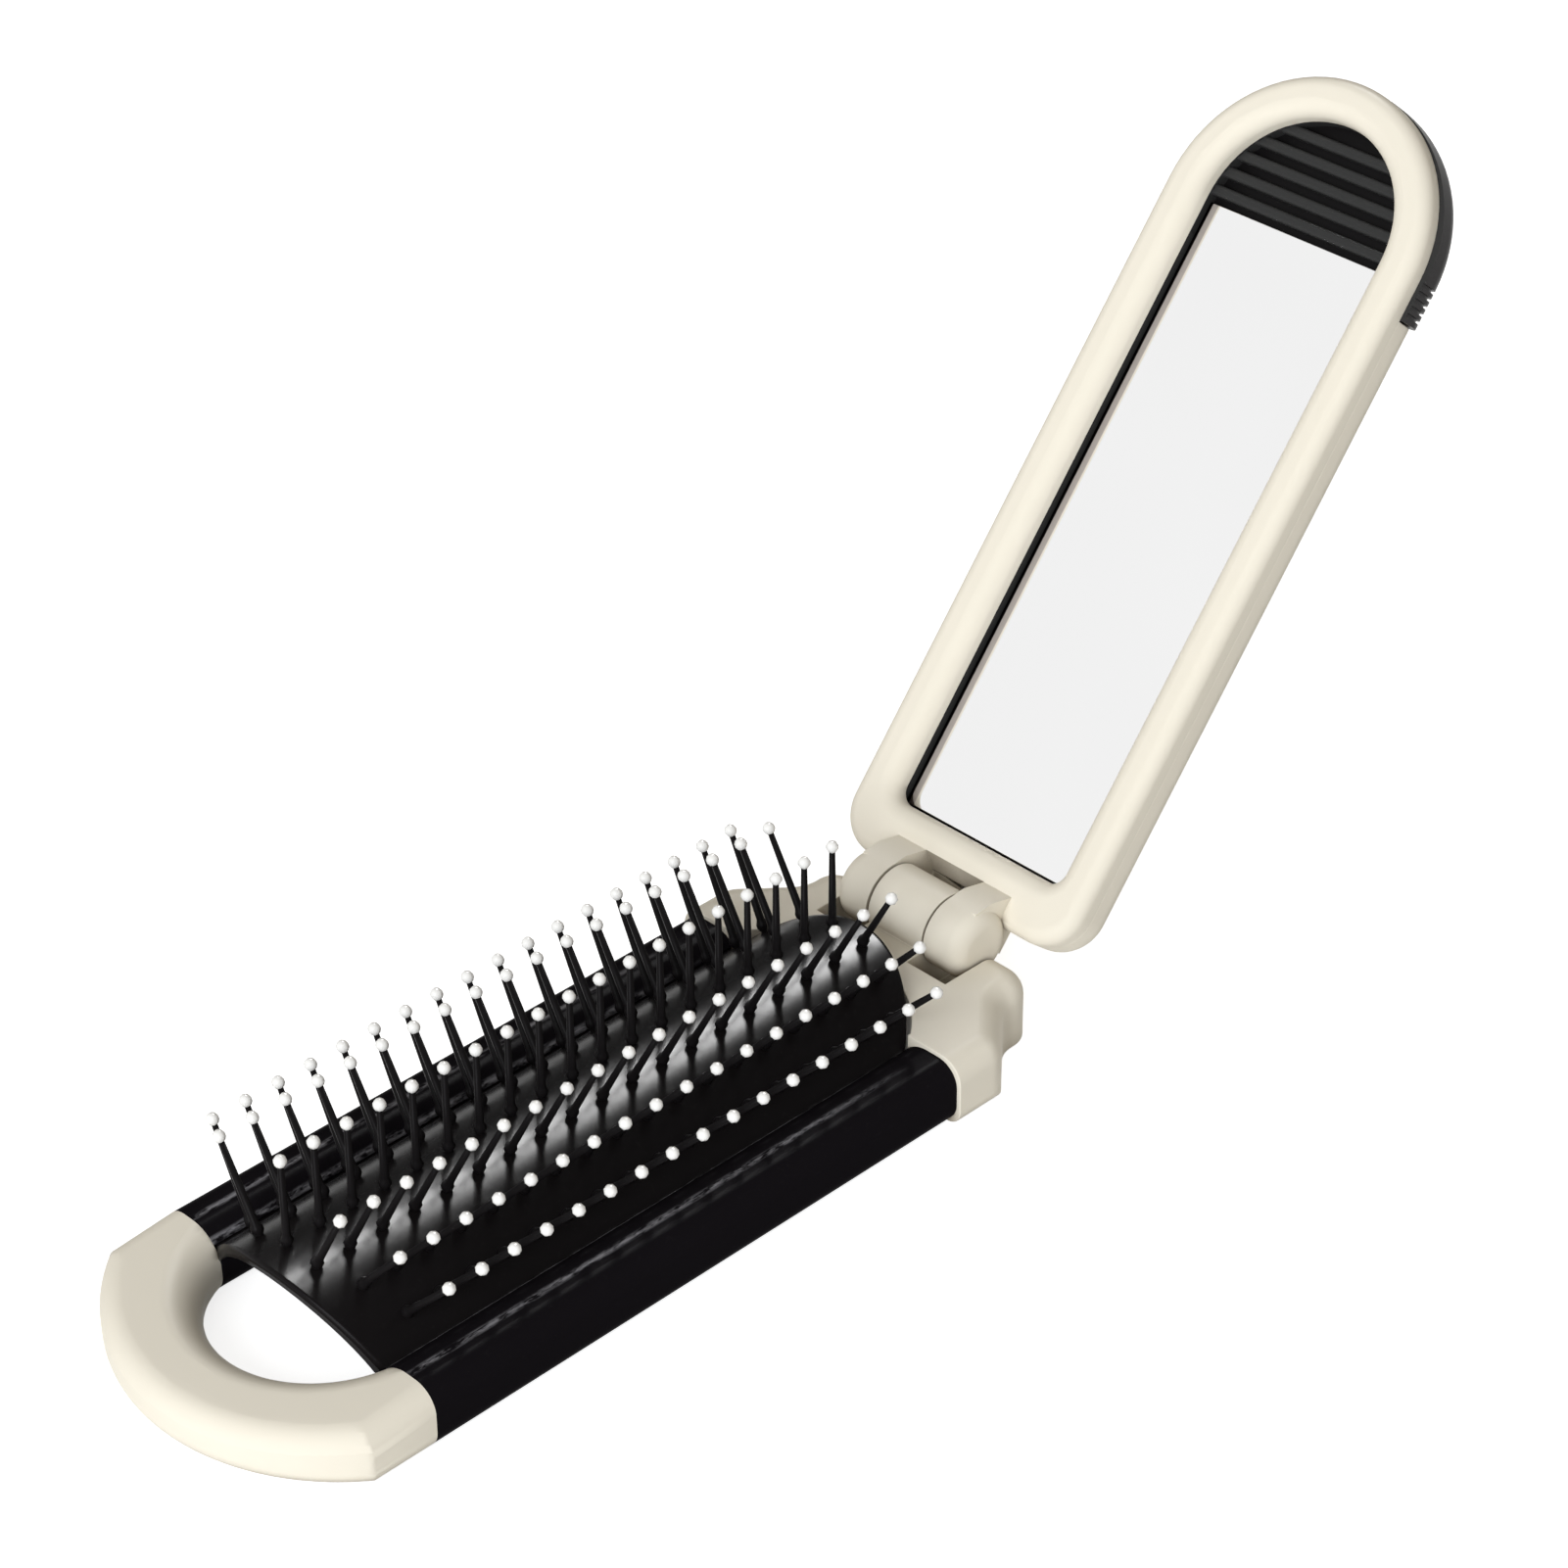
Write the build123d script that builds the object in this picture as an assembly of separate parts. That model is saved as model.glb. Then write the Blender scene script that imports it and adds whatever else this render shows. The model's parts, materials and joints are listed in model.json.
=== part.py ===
"""Pocket mirror comb: a brush half and a mirror half that fold together on one hinge pin.

Millimetres, +Z up. The comb stands open on the plane z = 0. The origin is the middle of the flat
foot of the hinge end cap, +X points from the finger loop to the hinge, +Y to the far side rail. The
mirror half is drawn flat, its length along its own X and its glass facing its own +Z, measured from
the hinge axis. It is then turned up to the pose in which the comb stands open.
"""
from build123d import *
from math import atan, cos, degrees, sin, sqrt
import os

# How the two halves meet
HINGE_FROM_FOOT = 6.0
HINGE_HEIGHT = 8.9
OPEN_INCLINE_DEGREES = 50.0

# Brush half: the outline that the rails, the loop and the cap share
BODY_HALF_WIDTH = 19.6
BODY_HEIGHT = 7.3
BODY_TOP_ROUND = 2.65
BODY_FOOT_ROUND = 2.6
RAIL_LENGTH = 68.8
RAIL_WIDTH = 7.9
RAIL_INNER_TOP_ROUND = 3.7
RAIL_INNER_FLAT = 1.0
TENON_LENGTH = 5.0
TENON_MARGIN = 1.5
TENON_PLAY = 0.1

# Finger loop
LOOP_LENGTH = 17.2
LOOP_BAND_FLATTENING = 4.7
LOOP_TIP_WIDTH = 9.0
LOOP_TIP_DROP = 1.4

# Hinge end cap, along the comb: full width, then a taper to the neck, then the rounded end
CAP_REACH = 15.0
CAP_PROUD = 0.45
CAP_SHOULDER_LENGTH = 6.0
CAP_TAPER_LENGTH = 6.0
CAP_PAST_HINGE = 2.0
CAP_NECK_STEP = 5.0
CAP_SHOULDER_ROUND = 3.5
CAP_END_ROUND = 3.2
CAP_TOP_ROUND = 2.65
CAP_FOOT_ROUND = 1.8

# Pad: a thin arched sheet with a flange along each long edge
PAD_THICKNESS = 1.2
PAD_RAIL_GAP = 0.2
PAD_FOOT_HEIGHT = 5.8
PAD_RISE = 6.0
PAD_FLANGE_WIDTH = 1.3
PAD_FLANGE_THICKNESS = 1.0
PAD_FRONT_BULGE = 2.6
PAD_BACK_BULGE = 6.4
PAD_SLOT_PLAY = 0.15
PAD_END_GAP = 0.4

# Pins and their ball tips: one entry for each row, from the far row to the near row
PIN_PITCH = 4.0
PIN_FIELD_SHIFT = 2.4
PIN_END_MARGIN = 1.6
PIN_LENGTH = 9.8
PIN_ROOT_RADIUS = 0.42
PIN_END_RADIUS = 0.27
PIN_COLLAR_RADIUS = 0.8
PIN_COLLAR_HEIGHT = 0.7
PIN_SEAT_DEPTH = 0.7
PIN_SIDES = 6
PINS_LEFT_OUT = (0, 0, 0, 0, 1, 1)
PIN_ROOT_SHARES = (0.813, 0.508, 0.163, -0.173, -0.508, -0.813)
PIN_LENGTH_SHARES = (1.16, 1.05, 1.02, 0.905, 0.94, 0.98)
PIN_LEAN_DEGREES = (25.4, 29.0, 0.0, -29.0, -41.5, -44.1)
BALL_RADIUS = 0.6
BALL_LEVEL_SHARES = (-0.85, 0.0, 0.85)
BALL_RING_SHARES = (0.5, 1.0, 0.5)

# Hinge: the middle knuckle belongs to the cap, the outer two to the mirror frame
KNUCKLE_RADIUS = 4.0
MIDDLE_KNUCKLE_WIDTH = 7.7
OUTER_KNUCKLE_WIDTH = 4.85
KNUCKLE_SIDE_GAP = 0.3
KNUCKLE_SWING_GAP = 2.15
KNUCKLE_END_ROUND = 1.8
LUG_REACH = 5.9
LUG_TOP_REACH = 4.5
NECK_REACH = 3.6
HINGE_PIN_RADIUS = 1.0
HINGE_PIN_PLAY = 0.05
HINGE_PIN_BLIND_WALL = 1.1
HINGE_PIN_END_GAP = 0.3

# Mirror half: places along it are counted from the hinge axis, drops are below the hinge axis
MIRROR_START = 2.6
MIRROR_ROUND_CENTRE = 80.6
MIRROR_HALF_WIDTH = 16.35
MIRROR_CORNER_ROUND = 5.0
RIM_DROP = 1.6
RIM_THICKNESS = 2.8
RIM_SIDE_WIDTH = 4.4
RIM_FOOT_WIDTH = 6.4
RIM_OUTER_ROUND = 1.6
RIM_INNER_ROUND = 1.9
COVER_DEPTH = 4.2
COVER_ROUND = 2.6
COVER_WALL = 1.8
COVER_FLOOR = 1.2
COVER_LENGTH = 73.6
COVER_SEAM_GAP = 0.1

# Black core: the tray under the glass and the ribbed thumb end
TRAY_THICKNESS = 0.8
TRAY_GAP = 0.1
TRAY_FENCE_GAP = 0.1
TRAY_FENCE_WIDTH = 0.8
RIB_COUNT = 5
RIB_PITCH = 2.2
RIB_WIDTH = 1.2
RIB_HEIGHT = 1.2
RIB_DROP = 0.5
RIB_END_GAP = 0.8
THUMB_WALL_INSET = 0.1
GRIP_GROOVE_COUNT = 5
GRIP_GROOVE_PITCH = 0.85
GRIP_GROOVE_WIDTH = 0.4
GRIP_GROOVE_DEPTH = 0.25
GRIP_GROOVE_START = 0.6

# Glass and the foam adhesive that holds it in the tray
GLASS_SIDE_GAP = 0.15
GLASS_LENGTH = 71.0
GLASS_THICKNESS = 0.9
GLASS_START_GAP = 0.1
ADHESIVE_THICKNESS = 0.5
ADHESIVE_INSET = 1.2

# One overrun for every cut
OVERRUN = 2.0

# Places along the comb that follow from the sizes
HINGE_X = HINGE_FROM_FOOT
CAP_FRONT_X = HINGE_X - CAP_REACH
CAP_END_X = HINGE_X + CAP_PAST_HINGE
LOOP_SEAM_X = CAP_FRONT_X - RAIL_LENGTH
LOOP_TIP_X = LOOP_SEAM_X - LOOP_LENGTH
CAP_HALF_WIDTH = BODY_HALF_WIDTH + CAP_PROUD
CAP_HEIGHT = BODY_HEIGHT + CAP_PROUD
CAP_NECK_HALF_WIDTH = BODY_HALF_WIDTH - CAP_NECK_STEP
RAIL_INNER = BODY_HALF_WIDTH - RAIL_WIDTH
RAIL_INNER_FOOT_ROUND = BODY_HEIGHT - RAIL_INNER_TOP_ROUND - RAIL_INNER_FLAT
LOOP_BAND_RADIUS = BODY_HALF_WIDTH + LOOP_BAND_FLATTENING

# The pad lies between the rails' rounded inner edges, which lean away from it at its foot
RAIL_EDGE_RISE = PAD_FOOT_HEIGHT - BODY_HEIGHT + RAIL_INNER_TOP_ROUND
RAIL_EDGE_LEAN = RAIL_INNER_TOP_ROUND - sqrt(RAIL_INNER_TOP_ROUND ** 2 - RAIL_EDGE_RISE ** 2)
PAD_HALF_SPAN = RAIL_INNER + RAIL_EDGE_LEAN - PAD_RAIL_GAP

# Levels of the mirror half, in its own frame
RIM_TOP = -RIM_DROP
RIM_UNDER = RIM_TOP - RIM_THICKNESS
COVER_BACK = RIM_UNDER - COVER_DEPTH
COVER_INSIDE = COVER_BACK + COVER_FLOOR
TRAY_UNDER = COVER_INSIDE + TRAY_GAP
TRAY_TOP = TRAY_UNDER + TRAY_THICKNESS
ADHESIVE_TOP = TRAY_TOP + ADHESIVE_THICKNESS
GLASS_TOP = ADHESIVE_TOP + GLASS_THICKNESS

# Places along the mirror half
WINDOW_START = MIRROR_START + RIM_FOOT_WIDTH
WINDOW_HALF_WIDTH = MIRROR_HALF_WIDTH - RIM_SIDE_WIDTH
COVER_END = MIRROR_START + COVER_LENGTH
GLASS_START = WINDOW_START + GLASS_START_GAP
GLASS_END = GLASS_START + GLASS_LENGTH
GLASS_HALF_WIDTH = WINDOW_HALF_WIDTH - GLASS_SIDE_GAP

# Outer knuckles, from their inner face to their end face
OUTER_KNUCKLE_START = MIDDLE_KNUCKLE_WIDTH / 2 + KNUCKLE_SIDE_GAP
OUTER_KNUCKLE_END = OUTER_KNUCKLE_START + OUTER_KNUCKLE_WIDTH


def block(x0, x1, y0, y1, z0, z1):
    """A box between two corners."""
    return Pos((x0 + x1) / 2, (y0 + y1) / 2, (z0 + z1) / 2) * Box(x1 - x0, y1 - y0, z1 - z0)


def bar_along_y(radius, y0, y1, x=0.0, z=0.0):
    """A round bar along Y."""
    return Pos(x, (y0 + y1) / 2, z) * Rot(90, 0, 0) * Cylinder(radius, y1 - y0)


def run_along_x(section, x0, x1):
    """A section drawn as (across, up), run along the comb from x0 to x1."""
    return extrude(Plane.YZ.offset(x0) * section, amount=x1 - x0, dir=(1, 0, 0))


def blank_section(half_width, low, high):
    """A plain section across the comb between two levels."""
    return Pos(0, (low + high) / 2) * Rectangle(2 * half_width, high - low)


def top_rounded(section, radius):
    """A section with its upper corners rounded."""
    return fillet(section.vertices().group_by(Axis.Y)[-1], radius)


def foot_rounded(section, radius):
    """A section with its lower corners rounded."""
    return fillet(section.vertices().group_by(Axis.Y)[0], radius)


def rail_core_section(side, play):
    """The rail's tenon, or with play its socket, on one side of the comb."""
    low = BODY_FOOT_ROUND + TENON_MARGIN / 2
    high = BODY_HEIGHT - TENON_MARGIN
    inner = PAD_HALF_SPAN + PAD_FLANGE_WIDTH + PAD_SLOT_PLAY + TENON_MARGIN / 2
    outer = BODY_HALF_WIDTH - TENON_MARGIN
    width = outer - inner + 2 * play
    return Pos(side * (inner + outer) / 2, (low + high) / 2) * Rectangle(width, high - low + 2 * play)


def pad_slot_section(side, play):
    """The slot in a rail for the pad's flange."""
    reach = PAD_HALF_SPAN + PAD_FLANGE_WIDTH + play
    top = PAD_FOOT_HEIGHT + play
    bottom = PAD_FOOT_HEIGHT - PAD_FLANGE_THICKNESS - play
    return Pos(side * reach / 2, (top + bottom) / 2) * Rectangle(reach, top - bottom)


def side_rail(side):
    """One side rail: each corner of its section rounded by its own radius, a slot and two tenons."""
    wide = 2 * BODY_HALF_WIDTH
    section = top_rounded(blank_section(BODY_HALF_WIDTH, 0, BODY_HEIGHT), BODY_TOP_ROUND)
    section = foot_rounded(section, BODY_FOOT_ROUND)
    section -= Pos(side * (RAIL_INNER - wide / 2), BODY_HEIGHT / 2) * Rectangle(wide, wide)
    upper = section.vertices().sort_by_distance((side * RAIL_INNER, BODY_HEIGHT))[0]
    section = fillet(upper, RAIL_INNER_TOP_ROUND)
    lower = section.vertices().sort_by_distance((side * RAIL_INNER, 0))[0]
    section = fillet(lower, RAIL_INNER_FOOT_ROUND)
    section -= pad_slot_section(side, PAD_SLOT_PLAY)
    rail = run_along_x(section, LOOP_SEAM_X, CAP_FRONT_X)
    core = rail_core_section(side, 0.0)
    return rail + run_along_x(core, LOOP_SEAM_X - TENON_LENGTH, CAP_FRONT_X + TENON_LENGTH)


def tenon_sockets(seam_x, direction):
    """The two sockets that take the rails' tenons, dug from a seam in one direction."""
    end_x = seam_x + direction * (TENON_LENGTH + TENON_PLAY)
    x0 = min(seam_x, end_x)
    x1 = max(seam_x, end_x)
    far = run_along_x(rail_core_section(1, TENON_PLAY), x0, x1)
    return far + run_along_x(rail_core_section(-1, TENON_PLAY), x0, x1)


def turned_band(low, high):
    """The section that is turned into the loop's round band, its corners still sharp."""
    return Pos(LOOP_BAND_RADIUS / 2, (low + high) / 2) * Rectangle(LOOP_BAND_RADIUS, high - low)


def round_band_corner(section, level, radius):
    """The band turned from its section, its edge at one level rounded."""
    corner = section.vertices().sort_by_distance((LOOP_BAND_RADIUS, level))[0]
    return revolve(Plane.XZ * fillet(corner, radius), Axis.Z)


def flared_cutter(radius, level, flare, direction):
    """A round cutter that opens out with a rounding as it nears a level from one side."""
    wide = radius + flare
    bell = Pos(wide / 2, level - direction * flare / 2) * Rectangle(wide, flare)
    bell -= Pos(wide, level - direction * flare) * Circle(flare)
    bell += Pos(wide / 2, level + direction * OVERRUN / 2) * Rectangle(wide, OVERRUN)
    return revolve(Plane.XZ * bell, Axis.Z)


def end_loop():
    """The finger loop: its upper side slopes down to the tip and its round band is rounded all over."""
    fall = atan(LOOP_TIP_DROP / LOOP_LENGTH)
    slope = Pos(LOOP_SEAM_X, 0, BODY_HEIGHT) * Rot(0, -degrees(fall), 0)
    above_foot = BODY_HEIGHT - LOOP_TIP_DROP - BODY_FOOT_ROUND
    reach = (LOOP_LENGTH + above_foot * sin(fall)) / cos(fall)
    depth = BODY_HEIGHT + OVERRUN
    upper = run_along_x(
        top_rounded(blank_section(BODY_HALF_WIDTH, -depth, 0), BODY_TOP_ROUND), -reach - OVERRUN, OVERRUN
    )
    upper &= Pos(LOOP_BAND_RADIUS - reach, 0, 0) * round_band_corner(turned_band(-depth, 0), 0, BODY_TOP_ROUND)
    lower = run_along_x(
        foot_rounded(blank_section(BODY_HALF_WIDTH, 0, depth), BODY_FOOT_ROUND), LOOP_TIP_X, LOOP_SEAM_X
    )
    lower &= Pos(LOOP_TIP_X + LOOP_BAND_RADIUS, 0, 0) * round_band_corner(
        turned_band(0, depth), 0, BODY_FOOT_ROUND
    )
    loop = lower & (slope * upper)
    for cutter in finger_hole(fall, slope, depth):
        loop -= cutter
    return loop - tenon_sockets(LOOP_SEAM_X, -1)


def finger_hole(fall, slope, depth):
    """The cutters for the D-shaped hole, which meets the rails' inner walls at the seam."""
    hole_depth = LOOP_LENGTH - LOOP_TIP_WIDTH
    radius = (RAIL_INNER ** 2 + hole_depth ** 2) / (2 * hole_depth)
    centre = radius - hole_depth
    upright = Pos(LOOP_SEAM_X + centre, 0, 0)
    sloped_centre = (centre - RAIL_INNER_TOP_ROUND * sin(fall)) / cos(fall)
    return [
        upright * Pos(0, 0, depth / 2) * Cylinder(radius, depth),
        upright * flared_cutter(radius, 0, RAIL_INNER_FOOT_ROUND, -1),
        slope * Pos(sloped_centre, 0, 0) * flared_cutter(radius, 0, RAIL_INNER_TOP_ROUND, 1),
    ]


def cap_plan():
    """The cap seen from above: full width, tapered in towards the hinge, with rounded corners."""
    taper_x = CAP_FRONT_X + CAP_SHOULDER_LENGTH
    neck_x = taper_x + CAP_TAPER_LENGTH
    outline = Polyline(
        (CAP_FRONT_X, -CAP_HALF_WIDTH),
        (taper_x, -CAP_HALF_WIDTH),
        (neck_x, -CAP_NECK_HALF_WIDTH),
        (CAP_END_X, -CAP_NECK_HALF_WIDTH),
        (CAP_END_X, CAP_NECK_HALF_WIDTH),
        (neck_x, CAP_NECK_HALF_WIDTH),
        (taper_x, CAP_HALF_WIDTH),
        (CAP_FRONT_X, CAP_HALF_WIDTH),
        close=True,
    )
    plan = make_face(outline)
    columns = plan.vertices().group_by(Axis.X)
    plan = fillet(columns[1] + columns[2], CAP_SHOULDER_ROUND)
    return fillet(plan.vertices().group_by(Axis.X)[-1], CAP_END_ROUND)


def pad_plan(gap):
    """The pad between its flanges seen from above, its two ends bulging; gap makes it larger all round."""
    half = PAD_HALF_SPAN + gap
    front = LOOP_SEAM_X - gap
    back = CAP_FRONT_X + gap
    edges = [
        Line((front, -half), (back, -half)),
        ThreePointArc((back, -half), (back + PAD_BACK_BULGE, 0), (back, half)),
        Line((back, half), (front, half)),
        ThreePointArc((front, half), (front - PAD_FRONT_BULGE, 0), (front, -half)),
    ]
    return make_face(edges)


def hinge_end_cap():
    """The cap that carries the rails' ends, rounded along its top, with the middle knuckle on a neck."""
    cap = extrude(cap_plan(), amount=CAP_HEIGHT)
    seam_edge_last = cap.faces().sort_by(Axis.Z)[-1].edges().sort_by(Axis.X, reverse=True)
    cap = fillet(seam_edge_last[:-1], CAP_TOP_ROUND)
    cap &= run_along_x(
        foot_rounded(blank_section(CAP_HALF_WIDTH, 0, CAP_HEIGHT), CAP_FOOT_ROUND), CAP_FRONT_X, CAP_END_X
    )
    cap -= Pos(0, 0, -OVERRUN) * extrude(pad_plan(PAD_END_GAP), amount=CAP_HEIGHT + 2 * OVERRUN)
    swing = KNUCKLE_RADIUS + KNUCKLE_SWING_GAP
    for side in (-1, 1):
        ends = sorted((side * MIDDLE_KNUCKLE_WIDTH / 2, side * (OUTER_KNUCKLE_END + KNUCKLE_SIDE_GAP)))
        cap -= bar_along_y(swing, ends[0], ends[1], HINGE_X, HINGE_HEIGHT)
    cap += middle_knuckle()
    bore = HINGE_PIN_RADIUS + HINGE_PIN_PLAY
    cap -= bar_along_y(bore, -MIDDLE_KNUCKLE_WIDTH, MIDDLE_KNUCKLE_WIDTH, HINGE_X, HINGE_HEIGHT)
    return cap - tenon_sockets(CAP_FRONT_X, 1)


def middle_knuckle():
    """The knuckle on the brush half, standing on a neck that rises from the cap."""
    half = MIDDLE_KNUCKLE_WIDTH / 2
    knuckle = bar_along_y(KNUCKLE_RADIUS, -half, half, HINGE_X, HINGE_HEIGHT)
    neck = block(HINGE_X - NECK_REACH, CAP_END_X, -half, half, BODY_FOOT_ROUND, HINGE_HEIGHT)
    return knuckle + neck


def pad_radius():
    """The arch's outer radius, from its half span and rise."""
    return (PAD_HALF_SPAN ** 2 + PAD_RISE ** 2) / (2 * PAD_RISE)


def pad_height(across):
    """The height of the pad's outer surface at a distance from the centre line."""
    radius = pad_radius()
    return PAD_FOOT_HEIGHT + PAD_RISE - radius + sqrt(radius ** 2 - across ** 2)


def bristle_pad():
    """The soft pad: an arched sheet with flanges that slide in the rails' slots."""
    crest = PAD_FOOT_HEIGHT + PAD_RISE
    centre = crest - pad_radius()
    span = 2 * PAD_HALF_SPAN
    disc = Pos(0, centre) * (Circle(pad_radius()) - Circle(pad_radius() - PAD_THICKNESS))
    foot = PAD_FOOT_HEIGHT - PAD_FLANGE_THICKNESS
    arch = disc & (Pos(0, (foot + crest) / 2) * Rectangle(span, crest - foot))
    sheet = run_along_x(arch, LOOP_SEAM_X - PAD_FRONT_BULGE, CAP_FRONT_X + PAD_BACK_BULGE)
    sheet &= extrude(pad_plan(0.0), amount=crest + OVERRUN)
    inner = PAD_HALF_SPAN - PAD_THICKNESS
    outer = PAD_HALF_SPAN + PAD_FLANGE_WIDTH
    for side in (-1, 1):
        ends = sorted((side * inner, side * outer))
        sheet += block(
            LOOP_SEAM_X + PAD_END_GAP, CAP_FRONT_X - PAD_END_GAP, ends[0], ends[1], foot, PAD_FOOT_HEIGHT
        )
    return sheet


def end_rise(bulge, across):
    """How far a bulging end of the pad reaches past its corners at a distance from the centre line."""
    radius = (PAD_HALF_SPAN ** 2 + bulge ** 2) / (2 * bulge)
    return bulge - radius + sqrt(radius ** 2 - across ** 2)


def pin_places(row):
    """Where each pin of a row stands, leaning across the comb: as many as the pad has room for."""
    across = PIN_ROOT_SHARES[row] * PAD_HALF_SPAN
    room = RAIL_LENGTH + end_rise(PAD_FRONT_BULGE, across) + end_rise(PAD_BACK_BULGE, across)
    count = int((room - 2 * PIN_END_MARGIN) / PIN_PITCH) + 1 - PINS_LEFT_OUT[row]
    first_x = (LOOP_SEAM_X + CAP_FRONT_X) / 2 + PIN_FIELD_SHIFT - (count - 1) / 2 * PIN_PITCH
    stance = Rot(-PIN_LEAN_DEGREES[row], 0, 0)
    return [Pos(first_x + index * PIN_PITCH, across, pad_height(across)) * stance for index in range(count)]


def ring_of_points(level, radius):
    """The corners of a level ring."""
    corner = Vector(radius, 0, level)
    return [corner.rotate(Axis.Z, 360 * side / PIN_SIDES) for side in range(PIN_SIDES)]


def faceted(levels, radii):
    """A many-sided peg through rings at the given levels."""
    rings = [ring_of_points(level, radius) for level, radius in zip(levels, radii)]
    outlines = [rings[0], rings[-1]]
    for lower, upper in zip(rings, rings[1:]):
        for side in range(PIN_SIDES):
            outlines.append((lower[side - 1], lower[side], upper[side], upper[side - 1]))
    return Solid(Shell([make_face(Polyline(*outline, close=True)).face() for outline in outlines]))


def pins_row(row):
    """One row of pins: each has a collar on the pad and a taper up to its ball."""
    top = PIN_LENGTH * PIN_LENGTH_SHARES[row] + BALL_LEVEL_SHARES[0] * BALL_RADIUS
    levels = (-PIN_SEAT_DEPTH, PIN_COLLAR_HEIGHT, top)
    pin = faceted(levels, (PIN_COLLAR_RADIUS, PIN_ROOT_RADIUS, PIN_END_RADIUS))
    return Compound([place * pin for place in pin_places(row)])


def pin_tips_row(row):
    """The ball tips of one row of pins."""
    centre = PIN_LENGTH * PIN_LENGTH_SHARES[row]
    levels = [centre + share * BALL_RADIUS for share in BALL_LEVEL_SHARES]
    ball = faceted(levels, [share * BALL_RADIUS for share in BALL_RING_SHARES])
    return Compound([place * ball for place in pin_places(row)])


def long_outline(start, half_width, corner):
    """The mirror half's outline: square with rounded corners at the hinge, half round at the end."""
    end = MIRROR_ROUND_CENTRE
    bend = corner * (1 - sqrt(0.5))
    edges = [
        Line((start + corner, -half_width), (end, -half_width)),
        ThreePointArc((end, -half_width), (end + half_width, 0), (end, half_width)),
        Line((end, half_width), (start + corner, half_width)),
        ThreePointArc(
            (start + corner, half_width), (start + bend, half_width - bend), (start, half_width - corner)
        ),
        Line((start, half_width - corner), (start, corner - half_width)),
        ThreePointArc(
            (start, corner - half_width), (start + bend, bend - half_width), (start + corner, -half_width)
        ),
    ]
    return make_face(edges)


def slab(outline, z0, z1):
    """An outline given thickness between two levels."""
    return Pos(0, 0, z0) * extrude(outline, amount=z1 - z0, dir=(0, 0, 1))


def mirror_outline():
    """The outer outline that the frame, the cover and the core's thumb end share."""
    return long_outline(MIRROR_START, MIRROR_HALF_WIDTH, MIRROR_CORNER_ROUND)


def window_outline(grow):
    """The window's outline, made larger all round by grow."""
    half = WINDOW_HALF_WIDTH + grow
    corner = MIRROR_CORNER_ROUND * WINDOW_HALF_WIDTH / MIRROR_HALF_WIDTH / 2
    return long_outline(WINDOW_START - grow, half, corner)


def middle_knuckle_room():
    """The space that the middle knuckle needs in the mirror half."""
    half = OUTER_KNUCKLE_START
    return bar_along_y(KNUCKLE_RADIUS + KNUCKLE_SWING_GAP, -half, half)


def outer_knuckle(side):
    """An outer knuckle with the lug that slopes from its crown down to the frame's rim."""
    y0 = min(side * OUTER_KNUCKLE_START, side * OUTER_KNUCKLE_END)
    knuckle = bar_along_y(KNUCKLE_RADIUS, y0, y0 + OUTER_KNUCKLE_WIDTH)
    end_face = knuckle.faces().sort_by(Axis.Y)[-1 if side > 0 else 0]
    knuckle = fillet(end_face.edges(), KNUCKLE_END_ROUND)
    tangent = KNUCKLE_RADIUS * sqrt(0.5)
    outline = Polyline(
        (0, 0, 0),
        (tangent, 0, tangent),
        (LUG_TOP_REACH, 0, 2 * tangent - LUG_TOP_REACH),
        (LUG_REACH, 0, RIM_TOP),
        (LUG_REACH, 0, RIM_UNDER),
        (0, 0, RIM_UNDER),
        close=True,
    )
    lug_width = OUTER_KNUCKLE_WIDTH - KNUCKLE_END_ROUND / 2
    lug_start = OUTER_KNUCKLE_START if side > 0 else -OUTER_KNUCKLE_START - lug_width
    return knuckle + Pos(0, lug_start, 0) * extrude(make_face(outline), amount=lug_width, dir=(0, 1, 0))


def mirror_frame():
    """The pale front frame: a rounded rim round the window and the two outer knuckles."""
    frame = slab(mirror_outline(), RIM_UNDER, RIM_TOP) - slab(window_outline(0), RIM_UNDER, RIM_TOP)
    frame = fillet(frame.faces().sort_by(Axis.Z)[-1].outer_wire().edges(), RIM_OUTER_ROUND)
    frame = fillet(frame.faces().sort_by(Axis.Z)[-1].inner_wires()[0].edges(), RIM_INNER_ROUND)
    frame += outer_knuckle(1)
    frame += outer_knuckle(-1)
    frame -= middle_knuckle_room()
    bore = HINGE_PIN_RADIUS + HINGE_PIN_PLAY
    return frame - bar_along_y(bore, HINGE_PIN_BLIND_WALL - OUTER_KNUCKLE_END, OUTER_KNUCKLE_END + OVERRUN)


def back_blank():
    """The whole back of the mirror half, rounded where it meets the hand."""
    blank = slab(mirror_outline(), COVER_BACK, RIM_UNDER)
    face = blank.faces().sort_by(Axis.Z)[0]
    return fillet(face.outer_wire().edges(), COVER_ROUND)


def back_cover():
    """The pale back shell, open at the end where the thumb end takes over."""
    cover = back_blank() & block(
        0, COVER_END, -MIRROR_HALF_WIDTH, MIRROR_HALF_WIDTH, COVER_BACK, RIM_UNDER
    )
    inside = long_outline(
        MIRROR_START + COVER_WALL, MIRROR_HALF_WIDTH - COVER_WALL, MIRROR_CORNER_ROUND - COVER_WALL
    )
    cover -= slab(inside, COVER_INSIDE, RIM_UNDER + OVERRUN)
    return cover - middle_knuckle_room()


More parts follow.
